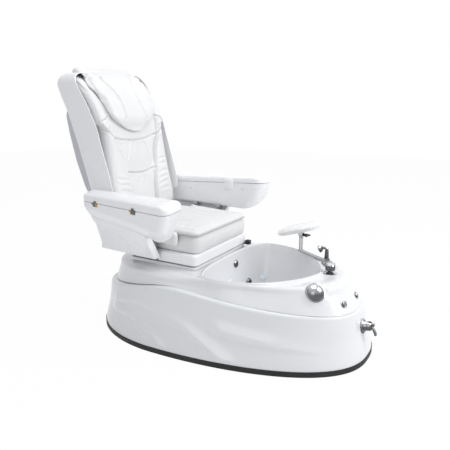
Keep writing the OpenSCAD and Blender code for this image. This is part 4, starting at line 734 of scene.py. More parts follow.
TRAY_HALF, TRAY_LEN, TRAY_ROUND, TRAY_WALL, TRAY_LOW, TRAY_TOP = 279.0, 445.0, 26.0, 4.0, 417.0, 474.0
CARRIER_YS = (250, 400)     # where the frame's tubes cross under the seat and carry the arms
TUBE_ROOM, TUBE_LOW, TUBE_HIGH = 14, 400, 468
EAR_IN, EAR_OUT, EAR_FRONT, EAR_REAR = 249, 259, 405, 455


def tray_ring(inset, z, wall=0.0):
    return level_ring(TRAY_HALF - wall, wall, TRAY_LEN - wall, TRAY_ROUND - wall, inset, z)


def build_tray():
    """Inverted pan under the seat with a rolled lip, cut out for the frame's tubes and ears."""
    low, high = TRAY_LOW, TRAY_TOP
    line = [(2, low), (0, low + 0.5), (0, low + 4), (0, high - 14), (1.2, high - 8),
            (4.2, high - 3.8), (9, high - 1), (16, high)]
    outer = [tray_ring(i, z) for i, z in line]
    tray = skin("seat_pan", outer[:3] + splined(outer[3:], 2))
    cut(tray, skin("tool", [tray_ring(0, z, TRAY_WALL) for z in (low - 5, high - TRAY_WALL)]))
    for y in CARRIER_YS:
        cut(tray, block(-290, 290, y - TUBE_ROOM, y + TUBE_ROOM, TUBE_LOW, TUBE_HIGH))
    cut(tray, block(EAR_IN, EAR_OUT, EAR_FRONT, EAR_REAR, TUBE_LOW, TUBE_HIGH),
        block(-EAR_OUT, -EAR_IN, EAR_FRONT, EAR_REAR, TUBE_LOW, TUBE_HIGH))
    finish(tray, "shell", "seat", ["seat_tray"], 30)


FRONT, REAR, CORNER = -28.0, 602.0, 48.0
ARM_IN, ARM_OUT = (400, 0.152), (552, 0.215)        # mm from the middle at Y 0, and mm in per mm back
SEAM_Z, SEAM_FALL, SEAM_CANT = 738, 0.023, 0.08     # the lid's seam: height, fall to the rear and outwards
ARM_DEEP, ARM_EDGE = (168, 116), (88, 24)           # depth of the body and of its outer edge, front and rear
LID_H, LID_NOSE = 40, 0.62                          # height of the lid, and its share at the front
SHELL_WALL = 4


def arm_in(y):
    return ARM_IN[0] - ARM_IN[1] * y


def arm_out(y):
    return ARM_OUT[0] - ARM_OUT[1] * y


def seam_at(x, y):
    return SEAM_Z - SEAM_FALL * y - SEAM_CANT * (x - (arm_in(y) + arm_out(y)) / 2)


def arm_part(y):
    return float(np.clip((y - FRONT) / (REAR - FRONT), 0, 1))


def corner_in(d):
    """How far the rounded front corner draws a side in, d behind the front."""
    return CORNER - math.sqrt(max(0.0, CORNER ** 2 - (CORNER - d) ** 2)) if d < CORNER else 0.0


def tuck_at(y, drop):
    """How far the front of the armrest is drawn back under itself."""
    return 92 * (1 - smooth((y - FRONT) / 330)) * (np.maximum(0, drop) / ARM_DEEP[0]) ** 2.2


def raised(section, y):
    """Section points (x, drop under the seam) as places."""
    x, drop = section[:, 0], section[:, 1]
    return np.column_stack([x, y + tuck_at(y, drop), seam_at(x, y) - drop])


def arm_section(y, i, up, tight):
    c = corner_in(y - FRONT) + tight
    a, b, e = arm_in(y) + c + i, arm_out(y) - c - i, mix(*ARM_EDGE, arm_part(y)) - 0.5 * i
    d = max(mix(*ARM_DEEP, arm_part(y)) - i - 0.6 * c, e + 20)
    line = [(a, -up), (a, d - 14), (a + 4, d - 4), (a + 14, d), (mix(a, b, 0.4), d),
            (mix(a, b, 0.72), mix(d, e, 0.5) + 5), (b - 1.5, e + 3), (b, e - 3), (b, -up)]
    return raised(filleted(line, [0, 8, 6, 6, 20, 24, 4, 6, 0], 5), y)


ARM_STEPS = np.concatenate([CORNER * (1 - np.cos(np.radians(np.linspace(0, 90, 13)))),
                            np.linspace(60, 606, 27)])


def along_arm(section, i, edge):
    """Rings of a section all along an armrest, inset by i, with a rounded rear end."""
    places = [(FRONT + max(d + i, 0.02), 0) for d in ARM_STEPS]
    places += [(REAR - 8 - i, 0), (REAR - 3 - i, 1.5), (REAR - i, 5)]
    return [section(y, i, edge, tight) for y, tight in places]


def lid_section(y, i, low, tight):
    d = y - FRONT
    c = corner_in(d) + tight
    a, b = arm_in(y) + c + i, arm_out(y) - c - i
    h = LID_H * mix(LID_NOSE, 1, float(smooth(math.sqrt(np.clip(d / 60, 0, 1))))) - i
    line = [(a, low), (a, h * 0.62), (a + 4, h * 0.86), (a + 14, h * 0.98), (mix(a, b, 0.3), h + 2.5),
            (mix(a, b, 0.5), h + 4), (mix(a, b, 0.7), h + 2.5), (b - 14, h * 0.98),
            (b - 4, h * 0.86), (b, h * 0.62), (b, low)]
    s = filleted(line, [0, 8, 8, 12, 20, 20, 20, 12, 8, 8, 0], 4)
    return np.column_stack([s[:, 0], np.full(len(s), y), seam_at(s[:, 0], y) + s[:, 1]])


LID_GAP = 2.4         # shadow line between the armrest and its lid
# the side panel: its front edge, the radius there, the depth of its return, its wall and its foot
PANEL_FRONT, PANEL_ROUND, PANEL_RETURN, PANEL_WALL, PANEL_FOOT_Z = 176.0, 9.0, 36, 4, 440
PANEL_FLARE, PANEL_HOLLOW, SWEEP_DEPTH = 34, 16, 8
SWEEP = [(300, 436), (329, 456), (361, 481), (394, 508), (415, 540), (440, 565), (469, 583), (500, 593),
         (545, 599), (600, 602)]


def panel_round(d):
    """Inset of the panel's face near its rounded front edge."""
    r = PANEL_ROUND
    return r - math.sqrt(r * r - (r - d) ** 2) if d < r else 0.0


def panel_point(y, f):
    """A point of the side panel's face: f runs from under the arm's edge to its foot."""
    xo = arm_out(y)
    zo = seam_at(xo, y) - mix(*ARM_EDGE, arm_part(y))
    along = np.clip((y - PANEL_FRONT) / 420, 0, 1)
    foot = mix(330, 304, along) + 7
    z = mix(zo, PANEL_FOOT_Z, f)
    flare = PANEL_FLARE * (1 - np.clip((y - PANEL_FRONT) / 200, 0, 1)) * (1 - (1 - f) ** 2.6)
    x = mix(xo - 3, foot, f) - PANEL_HOLLOW * np.sin(np.pi * f ** 0.8)
    # the sweep: the face behind and under its line lies back
    line_z = lookup(y, SWEEP)
    under = smooth((line_z - z + 10) / 26) * smooth((y - SWEEP[0][0]) / 60) * smooth((f - 0.04) / 0.1)
    return x - SWEEP_DEPTH * under * smooth((z - 446) / 26), y + flare, z


def strip_mesh(rings):
    """A skin over rings that are thin strips, its ends closed across the strip."""
    points, faces = ring_mesh(rings, loop=True)
    n, m = len(rings[0]), len(rings)
    faces = faces[:(m - 1) * n]
    for row in (0, m - 1):
        faces += [(row * n + i, row * n + i + 1, row * n + n - 2 - i, row * n + n - 1 - i)
                  for i in range(n // 2 - 1)]
    return points, faces


def panel_rings():
    rows = [(PANEL_FRONT + d, PANEL_RETURN) for d in (0, 0.2, 1, 2.4, 4)]
    rows += [(y, PANEL_WALL) for y in np.concatenate([[180.3], np.linspace(186, 588, 60), [596]])]
    rings = []
    fs = np.linspace(0, 1, 49)
    for y, t in rows:
        face = np.array([panel_point(y, f) for f in fs], float)
        face[:, 0] -= panel_round(y - PANEL_FRONT)
        rear = face[::-1].copy()
        rear[:, 0] -= t
        rear[:, 2] += 0.3 * min(t, 6)
        rings.append(np.vstack([face, rear]))
    return rings


def hand_of(side):
    return "left" if side > 0 else "right"


def build_arm(side):
    """Hollow armrest body, open under its lid, and the side panel that hangs from it."""
    hand = hand_of(side)
    body = skin("armrest_" + hand, along_arm(arm_section, 0, 0), side=side)
    cut(body, skin("tool", along_arm(arm_section, SHELL_WALL, 1), side=side), solver="MANIFOLD")
    finish(body, "shell", "seat", ["arm_body_" + hand], 36)
    points, faces = strip_mesh(panel_rings())
    panel = new_object("side_panel_" + hand, flip_x(points, side), faces)
    cut(panel, skin("tool", along_arm(arm_section, -0.6, 40), side=side), solver="MANIFOLD")
    for y in CARRIER_YS:
        cut(panel, block(*sorted((side * 302, side * 308.3)), y - 30, y + 30, 381, 641),
            solver="MANIFOLD")
    finish(panel, "shell", "seat", ["arm_panel_" + hand], 36)


def build_lid(side):
    hand = hand_of(side)
    lid = skin("armrest_lid_" + hand, along_arm(lid_section, 0, LID_GAP), side=side)
    cut(lid, skin("tool", along_arm(lid_section, SHELL_WALL, -2), side=side), solver="MANIFOLD")
    finish(lid, "shell", "lid_" + hand, ["arm_lid_" + hand], 36)


# ---------------------------------------------------------------- back shell

BACK_HALF, BACK_LOW, BACK_TOP, BACK_ROUND = 298, 640, 1378, 72
# (height, Y) of the shell's rim, of its rear and of the cushion's front
RIM_LINE = [(640, 582), (665, 581), (680, 545), (700, 506), (757, 508), (847, 530), (977, 569), (1096, 602),
            (1208, 657), (1285, 707), (1378, 762)]
REAR_LINE = [(640, 632), (751, 690), (896, 734), (1047, 784), (1186, 834), (1249, 866), (1312, 890),
             (1345, 894), (1378, 878)]
FRONT_LINE = [(612, 522), (700, 530), (835, 556), (1037, 590), (1150, 616), (1190, 633), (1230, 655),
              (1270, 682), (1310, 714), (1345, 745), (1400, 800)]
SHELL_DEPTHS = [(0, 0), (0, 0.5), (3, 0.78), (14, 0.94), (46, 1.01), (130, 1.04)]


def rim_y(z):
    """Rim of the shell: rounded, but sharp where it drops round the arms."""
    return np.where(z < 760, lookup(z, RIM_LINE), soft_lookup(z, RIM_LINE, 30))


def shell_ring(i, f, d):
    """Outline of the shell inset by i, a share f of the way from its rim to its rear, d behind it."""
    p = rrect(BACK_HALF, BACK_LOW, BACK_TOP, BACK_ROUND, i, n=40, m=12)
    y = mix(rim_y(p[:, 1]), soft_lookup(p[:, 1], REAR_LINE, 18), f) + d
    return np.column_stack([p[:, 0], y, p[:, 1]])


def build_back_shell():
    outer = [shell_ring(0, 0, 2), shell_ring(0, 0.02, 0)]
    outer += [shell_ring(i, f, 0) for i, f in SHELL_DEPTHS[1:]]
    inner = [shell_ring(5 + i, f, -5 if f else 0) for i, f in SHELL_DEPTHS[::-1]]
    lip = [shell_ring(3.8, 0, 0.1), shell_ring(2.5, 0, -0.2), shell_ring(1.2, 0, 0.1)]
    rings = inner[:-1] + [shell_ring(5, 0.004, 0)] + lip + outer[:2] + splined(outer[1:], 5)[1:]
    back = skin("back_moulding", rings)
    for x in (-244, 244):
        cut(back, block(x - 5.5, x + 5.5, 518, 628, 600, 662))
    finish(back, "shell", "back", ["back_shell"], 38)


def build_gap_shade():
    """Grey sheet between the cushion and the shell's wall: painted shade in the gap between them."""
    def ring(inset, depth):
        p = rrect(291.5, 655, 1371, 68, inset, n=30, m=10)
        y = np.maximum(soft_lookup(p[:, 1], FRONT_LINE, 20) + 30, rim_y(p[:, 1]) + 14) + depth
        return np.column_stack([p[:, 0], y, p[:, 1]])
    rings = [ring(48, 0), ring(0, 0), ring(0, 3), ring(48, 3)]
    finish(skin("shell_gap_shade", rings, loop=True), "gap_shade", "back")


COVER_HALF, COVER_LOW, COVER_TOP, COVER_ROUND = 276, 662, 1196, 60
COVER_SWELL = [(660, 0.5), (760, 1), (900, 1.25), (1050, 1), (1196, 0.35)]


def cover_rings(i):
    rings = []
    for inset, depth in ((0, -40), (0, 26), (5, 40), (20, 50), (70, 56)):
        p = rrect(COVER_HALF, COVER_LOW, COVER_TOP, COVER_ROUND, inset + i, n=30, m=8)
        swell = soft_lookup(p[:, 1], COVER_SWELL, 20)
        y = soft_lookup(p[:, 1], REAR_LINE, 18) + (depth * swell - i if depth > 0 else depth)
        rings.append(np.column_stack([p[:, 0], y, p[:, 1]]))
    return rings[:1] + splined(rings[1:], 5)


def build_back_cover():
    """Bulging rear cover, hollow, and cut to the shell that it sits on."""
    cover = skin("rear_cover", cover_rings(0))
    cut(cover, skin("tool", cover_rings(SHELL_WALL)))
    solid = [shell_ring(0, 0, -60)] + splined([shell_ring(i, f, GAP) for i, f in SHELL_DEPTHS[1:]], 5)
    cut(cover, skin("tool", solid))
    finish(cover, "cover", "back", ["back_cover"], 36)


# ---------------------------------------------------------------- cushions


CLOTH_FRAMES = 20
FROM_FRONT = ((0, 2), (0, -1, 0))       # the axes of a seam's points, and the way its face looks
FROM_ABOVE = ((0, 1), (0, 0, 1))
SEAM_CORD, CORD_SINK = 1.3, 0.4         # radius of a sewn cord, and how far it lies in its seam


def swollen(obj, soft, voxel, cap, pins):
    """Remeshes a cushion, blows it up as sewn cloth held where pins says, and rounds it."""
    grid = obj.modifiers.new("grid", "REMESH")
    grid.mode, grid.voxel_size = "VOXEL", voxel / 1000
    take_shape(obj)
    rest = coords(obj)
    held = pins(to_drawing(rest))
    group = obj.vertex_groups.new(name="sewn")
    for k in np.nonzero(held > 0.02)[0]:
        group.add([int(k)], float(held[k]), "REPLACE")
    cloth = obj.modifiers.new("stuffing", "CLOTH")
    s = cloth.settings
    s.quality = 4
    s.use_pressure = True
    s.uniform_pressure_force = soft.pressure
    s.effector_weights.gravity = 0
    s.vertex_group_mass = "sewn"
    cloth.point_cache.frame_start, cloth.point_cache.frame_end = 1, CLOTH_FRAMES
    scene = bpy.context.scene
    for k in range(1, CLOTH_FRAMES + 1):
        scene.frame_set(k)
    evaluated = obj.evaluated_get(bpy.context.evaluated_depsgraph_get())
    co = np.empty(len(rest) * 3, np.float32)
    evaluated.data.vertices.foreach_get("co", co)
    move = co.reshape(-1, 3).astype(float) - rest
    size = np.linalg.norm(move, axis=1, keepdims=True)
    limit = cap / 1000
    move *= np.where(size > 1e-9, limit * np.tanh(size / limit) / np.maximum(size, 1e-9), 0)
    obj.modifiers.clear()
    obj.vertex_groups.clear()
    scene.frame_set(1)
    set_coords(obj, rest + move)
    finer = obj.modifiers.new("finer", "SUBSURF")
    finer.levels = finer.render_levels = 1
    take_shape(obj)
    return obj


def nearest_on(line, u, v):
    """Distance from points to a line, and how far along it the nearest place is (0 to 1)."""
    line = np.asarray(line, float)
    best, along = np.full(len(u), 1e9), np.zeros(len(u))
    lengths = np.linalg.norm(np.diff(line, axis=0), axis=1)
    total, done = lengths.sum(), 0.0
    for (a, b), length in zip(zip(line[:-1], line[1:]), lengths):
        f = np.clip(((u - a[0]) * (b[0] - a[0]) + (v - a[1]) * (b[1] - a[1])) / length ** 2, 0, 1)
        d = np.hypot(u - mix(a[0], b[0], f), v - mix(a[1], b[1], f))
        closer = d < best
        best[closer] = d[closer]
        along[closer] = (done + f[closer] * length) / total
        done += length
    return best, along


def rounded_line(points, steps=6):
    return np.array([r[0] for r in splined([[p] for p in np.asarray(points, float)], steps)])


def press(obj, lines, face, width, depth, fade=False, puff=0.0):
    """Sinks seams or creases into one face of a cushion, with the leather puffed up beside them."""
    co, no = coords(obj), normals(obj)
    mm = to_drawing(co)
    plane, facing = face
    way = np.array(facing, float)
    turned = smooth((no @ way - 0.05) / 0.3)
    sink = np.zeros(len(co))
    for line in lines:
        d, along = nearest_on(rounded_line(line), mm[:, plane[0]], mm[:, plane[1]])
        share = np.sin(np.pi * along) if fade else 1.0
        one = bell(d, width) - puff * bell(d - 2.4 * width, 1.3 * width)
        sink += depth * share * one
    set_coords(obj, co - way * (turned * sink)[:, None] / 1000)


def cord_on(obj, name, line, face):
    """A sewn cord that lies in a seam of a cushion of the back, where the seam meets the cushion.
    Its grey finish is painted shade in the seam.
    """
    plane, facing = face
    way = Vector(facing)
    tree = BVHTree.FromObject(obj, bpy.context.evaluated_depsgraph_get())
    path = []
    for p in rounded_line(line, 8):
        start = np.zeros(3)
        start[plane[0]], start[plane[1]] = p
        start = Vector(to_model(start))
        axis = 3 - plane[0] - plane[1]
        start[axis] = way[axis] * 3.0
        hit = tree.ray_cast(start, -way)[0]
        if hit:
            path.append(to_drawing(hit) - np.array(facing) * CORD_SINK)
    if len(path) > 2:
        finish(tube(name, path, SEAM_CORD), "piping_painted_shade", "back")


def tube(name, path, radius, n=8, loop=False):
    """A round cord along a path."""
    path = np.array(path)
    m = len(path)
    rings = []
    side = None
    for k in range(m):
        ahead = path[(k + 1) % m if loop else min(k + 1, m - 1)]
        behind = path[k - 1 if loop else max(k - 1, 0)]
        t = ahead - behind
        t /= max(np.linalg.norm(t), 1e-9)
        if side is None:
            side = np.cross(t, (0.3, 0.5, 1.0))
        side = side - t * (side @ t)
        side /= np.linalg.norm(side)
        up = np.cross(t, side)
        turn = 2 * np.pi * np.arange(n)[:, None] / n
        end = 0.45 if not loop and k in (0, m - 1) else 1.0
        rings.append(path[k] + radius * end * (np.cos(turn) * side + np.sin(turn) * up))
    return skin(name, rings, loop)


def held_near(lines, face, width, also):
    """Pins for the cloth: points by the seams, and those that `also` adds."""
    def pins(mm):
        held = np.zeros(len(mm))
        a, b = face[0]
        for line in lines:
            d, _ = nearest_on(rounded_line(line), mm[:, a], mm[:, b])
            held = np.maximum(held, bell(d, width))
        return np.maximum(held, also(mm))
    return pins


PANEL_LINE = [(612, 96), (660, 98), (735, 103), (843, 128), (936, 148), (1000, 173), (1040, 196), (1089, 222),
              (1130, 240), (1345, 250)]
WING_RISE = [(612, 24), (700, 30), (1040, 30), (1137, 26), (1200, 22), (1345, 12)]
CUSHION_HALF, CUSHION_T = 279.0, 52.0
CUSHION_WAIST = [(612, 276), (700, 276), (800, 268), (950, 258), (1060, 251), (1088, 252), (1112, 279)]
CAD_PANEL = [(612, 96), (728, 100), (835, 112), (1037, 185), (1100, 205), (1345, 215)]


def cushion_swell(x, z):
    """Front of the back cushion before its seams: side wings and a low crown between them."""
    a, p = np.abs(x), soft_lookup(z, CAD_PANEL, 20)
    w = CUSHION_HALF - p
    m = np.clip((a - p) / w, 0, 1)
    rise = soft_lookup(z, WING_RISE) * np.maximum(0, np.sin(np.pi * m ** 0.8 * 0.94)) ** 0.55
    wing = np.where(a > p, rise, 0)
    return soft_lookup(z, FRONT_LINE, 20) - wing - np.where(a < p, 7 * (1 - (a / p) ** 2), 0)


def back_cushion_rings(shrink):
    zs = np.concatenate([[612, 615, 620, 628, 640], np.linspace(655, 1330, 60), [1340, 1348, 1353, 1356]])
    low, high = zs[0], zs[-1]
    rings = []
    for z in zs:
        s = 14 * np.clip(1 - (z - low) / 26, 0, 1) ** 2 + 14 * np.clip(1 - (high - z) / 26, 0, 1) ** 2
        s += shrink
        back = soft_lookup(z, FRONT_LINE, 20) + CUSHION_T - s + shrink
        xs = np.linspace(-(CUSHION_HALF - 8), CUSHION_HALF - 8, 81)
        front = np.minimum(cushion_swell(xs, z) + s, back - 12)
        end = front[-1]
        edge = soft_lookup(z, CUSHION_WAIST, 8) - s
        p, a = soft_lookup(z, CAD_PANEL, 20), np.abs(xs)
        outer = p + (a - p) * (edge - 8 - p) / (CUSHION_HALF - 8 - p)
        xs = np.sign(xs) * np.where(a > p, outer, a)
        right = [(edge - 1, mix(end, back, 0.35)), (edge, mix(end, back, 0.65)), (edge - 6, back)]
        mid = [(x, back) for x in np.linspace(edge - 12, 12 - edge, 30)]
        left = [(-x, y) for x, y in right[::-1]]
        ring = [(x, y) for x, y in zip(xs, front)] + right + mid + left
        rings.append(np.column_stack([np.array(ring), np.full(len(ring), z)]))
    return rings


def both_sides(line):
    return [line, [(-x, z) for x, z in line]]


PANEL_SEAM = [(x, z) for z, x in PANEL_LINE if z <= 1089]
CHEST = [(-238, 1072), (-205, 1044), (-134, 1022), (-60, 1012), (0, 1009), (60, 1012), (134, 1022),
         (205, 1044), (238, 1072)]
CROSS = [(-129, 842), (-70, 829), (0, 824), (70, 829), (129, 842)]
DARTS = both_sides([(-57, 1011), (-76, 962), (-95, 914)])
SHOULDER = both_sides([(-238, 1072), (-256, 1092), (-266, 1108)])
YOKE = both_sides([(-271, 1118), (-236, 1133), (-190, 1146)])
WRINKLES = [[(150, 884), (195, 893), (240, 888)], [(140, 850), (180, 862), (236, 858)],
            [(128, 800), (180, 818), (238, 812)], [(124, 770), (170, 782), (220, 780)],
            [(120, 735), (160, 752), (225, 756)], [(116, 702), (165, 716), (230, 712)],
            [(-120, 690), (-160, 712), (-214, 730)], [(-124, 722), (-170, 740), (-226, 752)],
            [(-126, 762), (-170, 778), (-232, 782)], [(-130, 800), (-186, 806), (-236, 822)],
            [(-36, 1004), (-30, 972), (-38, 930)], [(30, 1002), (38, 968), (32, 934)],
            [(0, 812), (-24, 780), (-20, 742)], [(26, 816), (34, 790), (22, 750)]]


def build_back_cushion(soft):
    seams = both_sides(PANEL_SEAM) + [CHEST, CROSS] + SHOULDER + YOKE
    cushion = skin("back_upholstery", back_cushion_rings(4))

    def rear(mm):
        return (mm[:, 1] > soft_lookup(mm[:, 2], FRONT_LINE, 20) + 34).astype(float)

    swollen(cushion, soft, 7, 9, held_near(seams, FROM_FRONT, 7, rear))
    width = soft.seam_width * 1000
    press(cushion, seams, FROM_FRONT, width, soft.seam_depth * 1000, puff=0.25)
    press(cushion, DARTS, FROM_FRONT, width * 0.9, 4.0, puff=0.2)
    press(cushion, WRINKLES, FROM_FRONT, 6.5, 3.2, fade=True, puff=0.4)
    finish(cushion, "leather", "back", ["back_cushion"], 180)
    for k, line in enumerate(seams):
        cord_on(cushion, f"back_seam_{k}", line, FROM_FRONT)


PILLOW_LINE = [(1062, 46), (1075, 84), (1105, 136), (1140, 178), (1170, 195), (1204, 208), (1240, 221),
               (1280, 238), (1302, 250), (1320, 249), (1340, 243), (1355, 234), (1370, 226), (1407, 214)]
PILLOW_DEPTH = [(1062, 576), (1078, 566), (1140, 562), (1170, 578), (1204, 598), (1240, 620), (1280, 649),
                (1300, 670), (1320, 689), (1340, 706), (1355, 721), (1370, 742), (1390, 776), (1407, 806)]
PILLOW_EDGE = [(1062, 578), (1105, 570), (1140, 572), (1170, 591), (1204, 613), (1240, 635), (1280, 663),
               (1300, 684), (1320, 702), (1340, 718), (1355, 732), (1370, 752), (1407, 812)]


def pillow_rest(x, z):
    """Rear of the pillow, where it rests on the cushion."""
    return np.minimum(cushion_swell(x, np.minimum(z, 1345.0)) - 3.8, 772)


def pillow_ring(z, rear, s, lift=0.0):
    """Outline of the pillow at a height: a full front, a thick round edge and a rear at rest."""
    h = soft_lookup(z, PILLOW_LINE, 8) - s
    f = soft_lookup(z, PILLOW_DEPTH, 26) + s + lift
    us = np.sin(np.linspace(-1, 1, 57) * np.pi / 2)
    edge = np.abs(us)
    at = np.full(len(us), float(rear)) if rear else pillow_rest(h * us * 0.97, np.full(len(us), z))
    limit = at[-1]
    side = min(soft_lookup(z, PILLOW_EDGE, 26) + s + lift, limit - 14)
    front = mix(min(f, limit - 18), side, edge ** 3) - 5 * (1 - us * us)
    turn = 1 - np.sqrt(1 - np.clip((edge - 0.93) / 0.07, 0, 1) ** 2)
    front = mix(front, limit - 6, turn)
    ring = [(h * a, y) for a, y in zip(us, front)]
    ring += [(h * a, y) for a, y in zip(us[::-1][4:-4] * 0.985, at[::-1][4:-4])]
    return np.column_stack([np.array(ring), np.full(len(ring), float(z))])


PILLOW_SEAMS = both_sides([(140, 1378), (112, 1327), (92, 1285), (80, 1240), (80, 1200), (86, 1165),
                           (94, 1130)])
PILLOW_SIDES = both_sides([(198, 1372), (213, 1330), (217, 1290), (206, 1240), (192, 1200)])
PILLOW_WRINKLES = [[(-116, 1262), (-92, 1250), (-70, 1226)], [(-150, 1330), (-132, 1300), (-118, 1268)],
                   [(-140, 1210), (-110, 1196), (-84, 1180)], [(120, 1260), (150, 1240), (168, 1210)],
                   [(128, 1340), (140, 1310), (146, 1276)], [(0, 1350), (8, 1310), (2, 1270)]]


def build_pillow(soft):
    rows = [1062, 1064, 1068, 1074, 1082, 1092] + list(np.linspace(1104, 1352, 28)) + [1362]
    rings = [pillow_ring(z, 0, 9 * np.clip(1 - (z - 1062) / 16, 0, 1) ** 2 + 2, 2) for z in rows]
    rings += [pillow_ring(z, r, s) for z, r, s in ((1378.3, 778, 2), (1378.4, 806, 2), (1378.5, 833, 2),
                                                   (1382, 837, 2), (1387, 838, 2), (1394, 836, 3),
                                                   (1400, 833, 5), (1404, 829, 8), (1406, 826, 12))]
    pillow = skin("pillow_upholstery", rings)

    def flap(mm):
        return ((mm[:, 1] > 790) | (mm[:, 2] < 1084)).astype(float)

    swollen(pillow, soft, 6, 12, held_near(PILLOW_SEAMS, FROM_FRONT, 8, flap))
    press(pillow, PILLOW_SEAMS, FROM_FRONT, soft.seam_width * 1000, 7.0, puff=0.25)
    press(pillow, PILLOW_SIDES, FROM_FRONT, soft.seam_width * 900, 3.0, puff=0.25)
    press(pillow, PILLOW_WRINKLES, FROM_FRONT, 7, 2.2, fade=True, puff=0.4)
    finish(pillow, "leather", "back", ["head_pillow"], 180)
    for k, line in enumerate(PILLOW_SEAMS + PILLOW_SIDES):
        cord_on(pillow, f"pillow_seam_{k}", line, FROM_FRONT)


SEAT_T, PAD_T = 93.0, 26.0
SEAT_PAD = (264, -2, 482, 38)       # half width, front, rear and corner of the upper pad


def level_ring(half, lo, hi, r, inset, z):
    p = rrect(half, lo, hi, r, inset, n=30, m=8)
    return np.column_stack([p, np.full(len(p), float(z))])


def build_seat_cushion(soft):
    """Lower cushion: drawn-in foot, swollen sides and a waterfall front."""
    low = TRAY_TOP + GAP
    rings = [level_ring(264, -3, 486, 40, i, low + z)
             for i, z in ((16, 0), (8, 1.5), (4, 5), (2, 12), (1, 24), (0, 40), (0, 58), (2, 72), (5, 82),
                          (10, 89), (17, SEAT_T))]
    cushion = skin("seat_upholstery", rings)

    def ends(mm):
        return ((mm[:, 2] < low + 6) | (mm[:, 2] > low + SEAT_T - 4)).astype(float)

    swollen(cushion, soft, 7, 4, ends)
    folds = [[(-262, 508), (-255, 530), (-250, 556)], [(-150, 500), (-120, 520), (-104, 548)],
             [(60, 498), (90, 520), (112, 550)], [(220, 505), (228, 528), (224, 552)]]
    press(cushion, folds, FROM_FRONT, 9, 2.0, fade=True, puff=0.4)
    finish(cushion, "leather", "seat", ["seat_cushion"], 180)


def build_seat_pad(soft):
    """Upper pad: piped edge, sewn channel inside it and a crowned middle."""
    low, t = TRAY_TOP + 2 * GAP + SEAT_T, PAD_T
    rings = [level_ring(*SEAT_PAD, i, low + z)
             for i, z in ((10, 0), (5, 1), (1.5, 4), (0, 9), (0.5, 14), (3, 19), (8, t - 3), (16, t),
                          (26, t + 2), (60, t + 4), (110, t + 6), (180, t + 7))]
    pad = skin("seat_pad_upholstery", rings)
    inner = [tuple(p) for p in rrect(*SEAT_PAD, 27, n=8, m=4)]
    channel = [inner + inner[:1]]
    dip = [[(-150, 410), (-128, 250), (-120, 110)], [(150, 410), (128, 250), (120, 110)]]

    def under(mm):
        return (mm[:, 2] < low + 3).astype(float)

    swollen(pad, soft, 6, 7, held_near(channel, FROM_ABOVE, 7, under))
    press(pad, channel, FROM_ABOVE, soft.seam_width * 1000, 3.5, puff=0.2)
    press(pad, dip, FROM_ABOVE, 14, 2.5, fade=True, puff=0.3)
    folds = [[(-230, 60), (-190, 66), (-150, 58)], [(-236, 108), (-196, 118), (-160, 112)],
             [(-226, 30), (-196, 40), (-150, 30)], [(160, 52), (196, 60), (234, 56)],
             [(-70, 40), (-10, 48), (50, 38)], [(-236, 180), (-200, 196), (-176, 190)]]
    press(pad, folds, FROM_ABOVE, 9, 2.4, fade=True, puff=0.4)
    finish(pad, "leather", "seat", ["seat_pad"], 180)
    path = [(x, y, low + 3.0) for x, y in rrect(*SEAT_PAD, -0.5, n=8, m=6)]
    # The cord of the pad's piped edge is grey: painted shade along the joint under the pad.
    finish(closed_cord("seat_piping", path, 2.2), "piping_painted_shade", "seat")


def closed_cord(name, path, radius):
    path = np.array(path, float)
    fine = np.array([r[0] for r in splined([[p] for p in path], 2, loop=True)])
    return tube(name, fine, radius, loop=True)


def build_bolsters(soft):
    """Upright pads between the seat and the arms."""
    low, out, y0, y1 = 268.5, 302.7, 104.0, 405.0
    for side in (-1, 1):
        rings = []
        for i, z in ((6, 0), (2.5, 3), (1, 8), (0.5, 24), (0.5, 46), (1.5, 58), (4, 66), (8, 70.5), (12, 72)):
            p = rrect((out - low) / 2, y0, y1, 15, i, n=16, m=6)
            z_at = mix(516, 530, (p[:, 1] - y0) / (y1 - y0)) + z * 0.95
            rings.append(np.column_stack([(p[:, 0] + (low + out) / 2) * side, p[:, 1], z_at]))
        pad = skin("bolster_" + hand_of(side), rings)
        finish(swollen(pad, soft, 4, 2.5, lambda mm: (mm[:, 2] < 536).astype(float)),
               "leather", "seat", angle=180)
        if side > 0:
            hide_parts("side_bolsters")


# ---------------------------------------------------------------- stage


SENSOR = 36               # mm
FLOOR_HALF = 9e3          # mm
FLOOR_SHADES = ((0.90, 0.90, 0.90), (0.88, 0.88, 0.885))
SKY_TINT = (0.93, 0.96, 1.0, 1)
WHITE = (1, 1, 1, 1)


def place_camera(stage):
    scene = bpy.context.scene
    view = bpy.data.cameras.new("view")
    view.sensor_width = SENSOR
    view.lens = stage.lens
    camera = bpy.data.objects.new("view", view)
    camera.location = stage.camera_place
    camera.rotation_euler = stage.camera_turn
    scene.collection.objects.link(camera)
    scene.camera = camera
    scene.view_settings.view_transform = "Standard"


def seen_as(tree, share, lit, plain, output):
    """A lit shader, of which a share gives way to a plain one where it is seen or mirrored."""
    join = node_of(tree, "ShaderNodeMixShader")
    tree.links.new(seen_only(tree, share), join.inputs[0])
    tree.links.new(lit.outputs[0], join.inputs[1])
    tree.links.new(plain.outputs[0], join.inputs[2])
    tree.links.new(join.outputs[0], tree.nodes[output].inputs["Surface"])


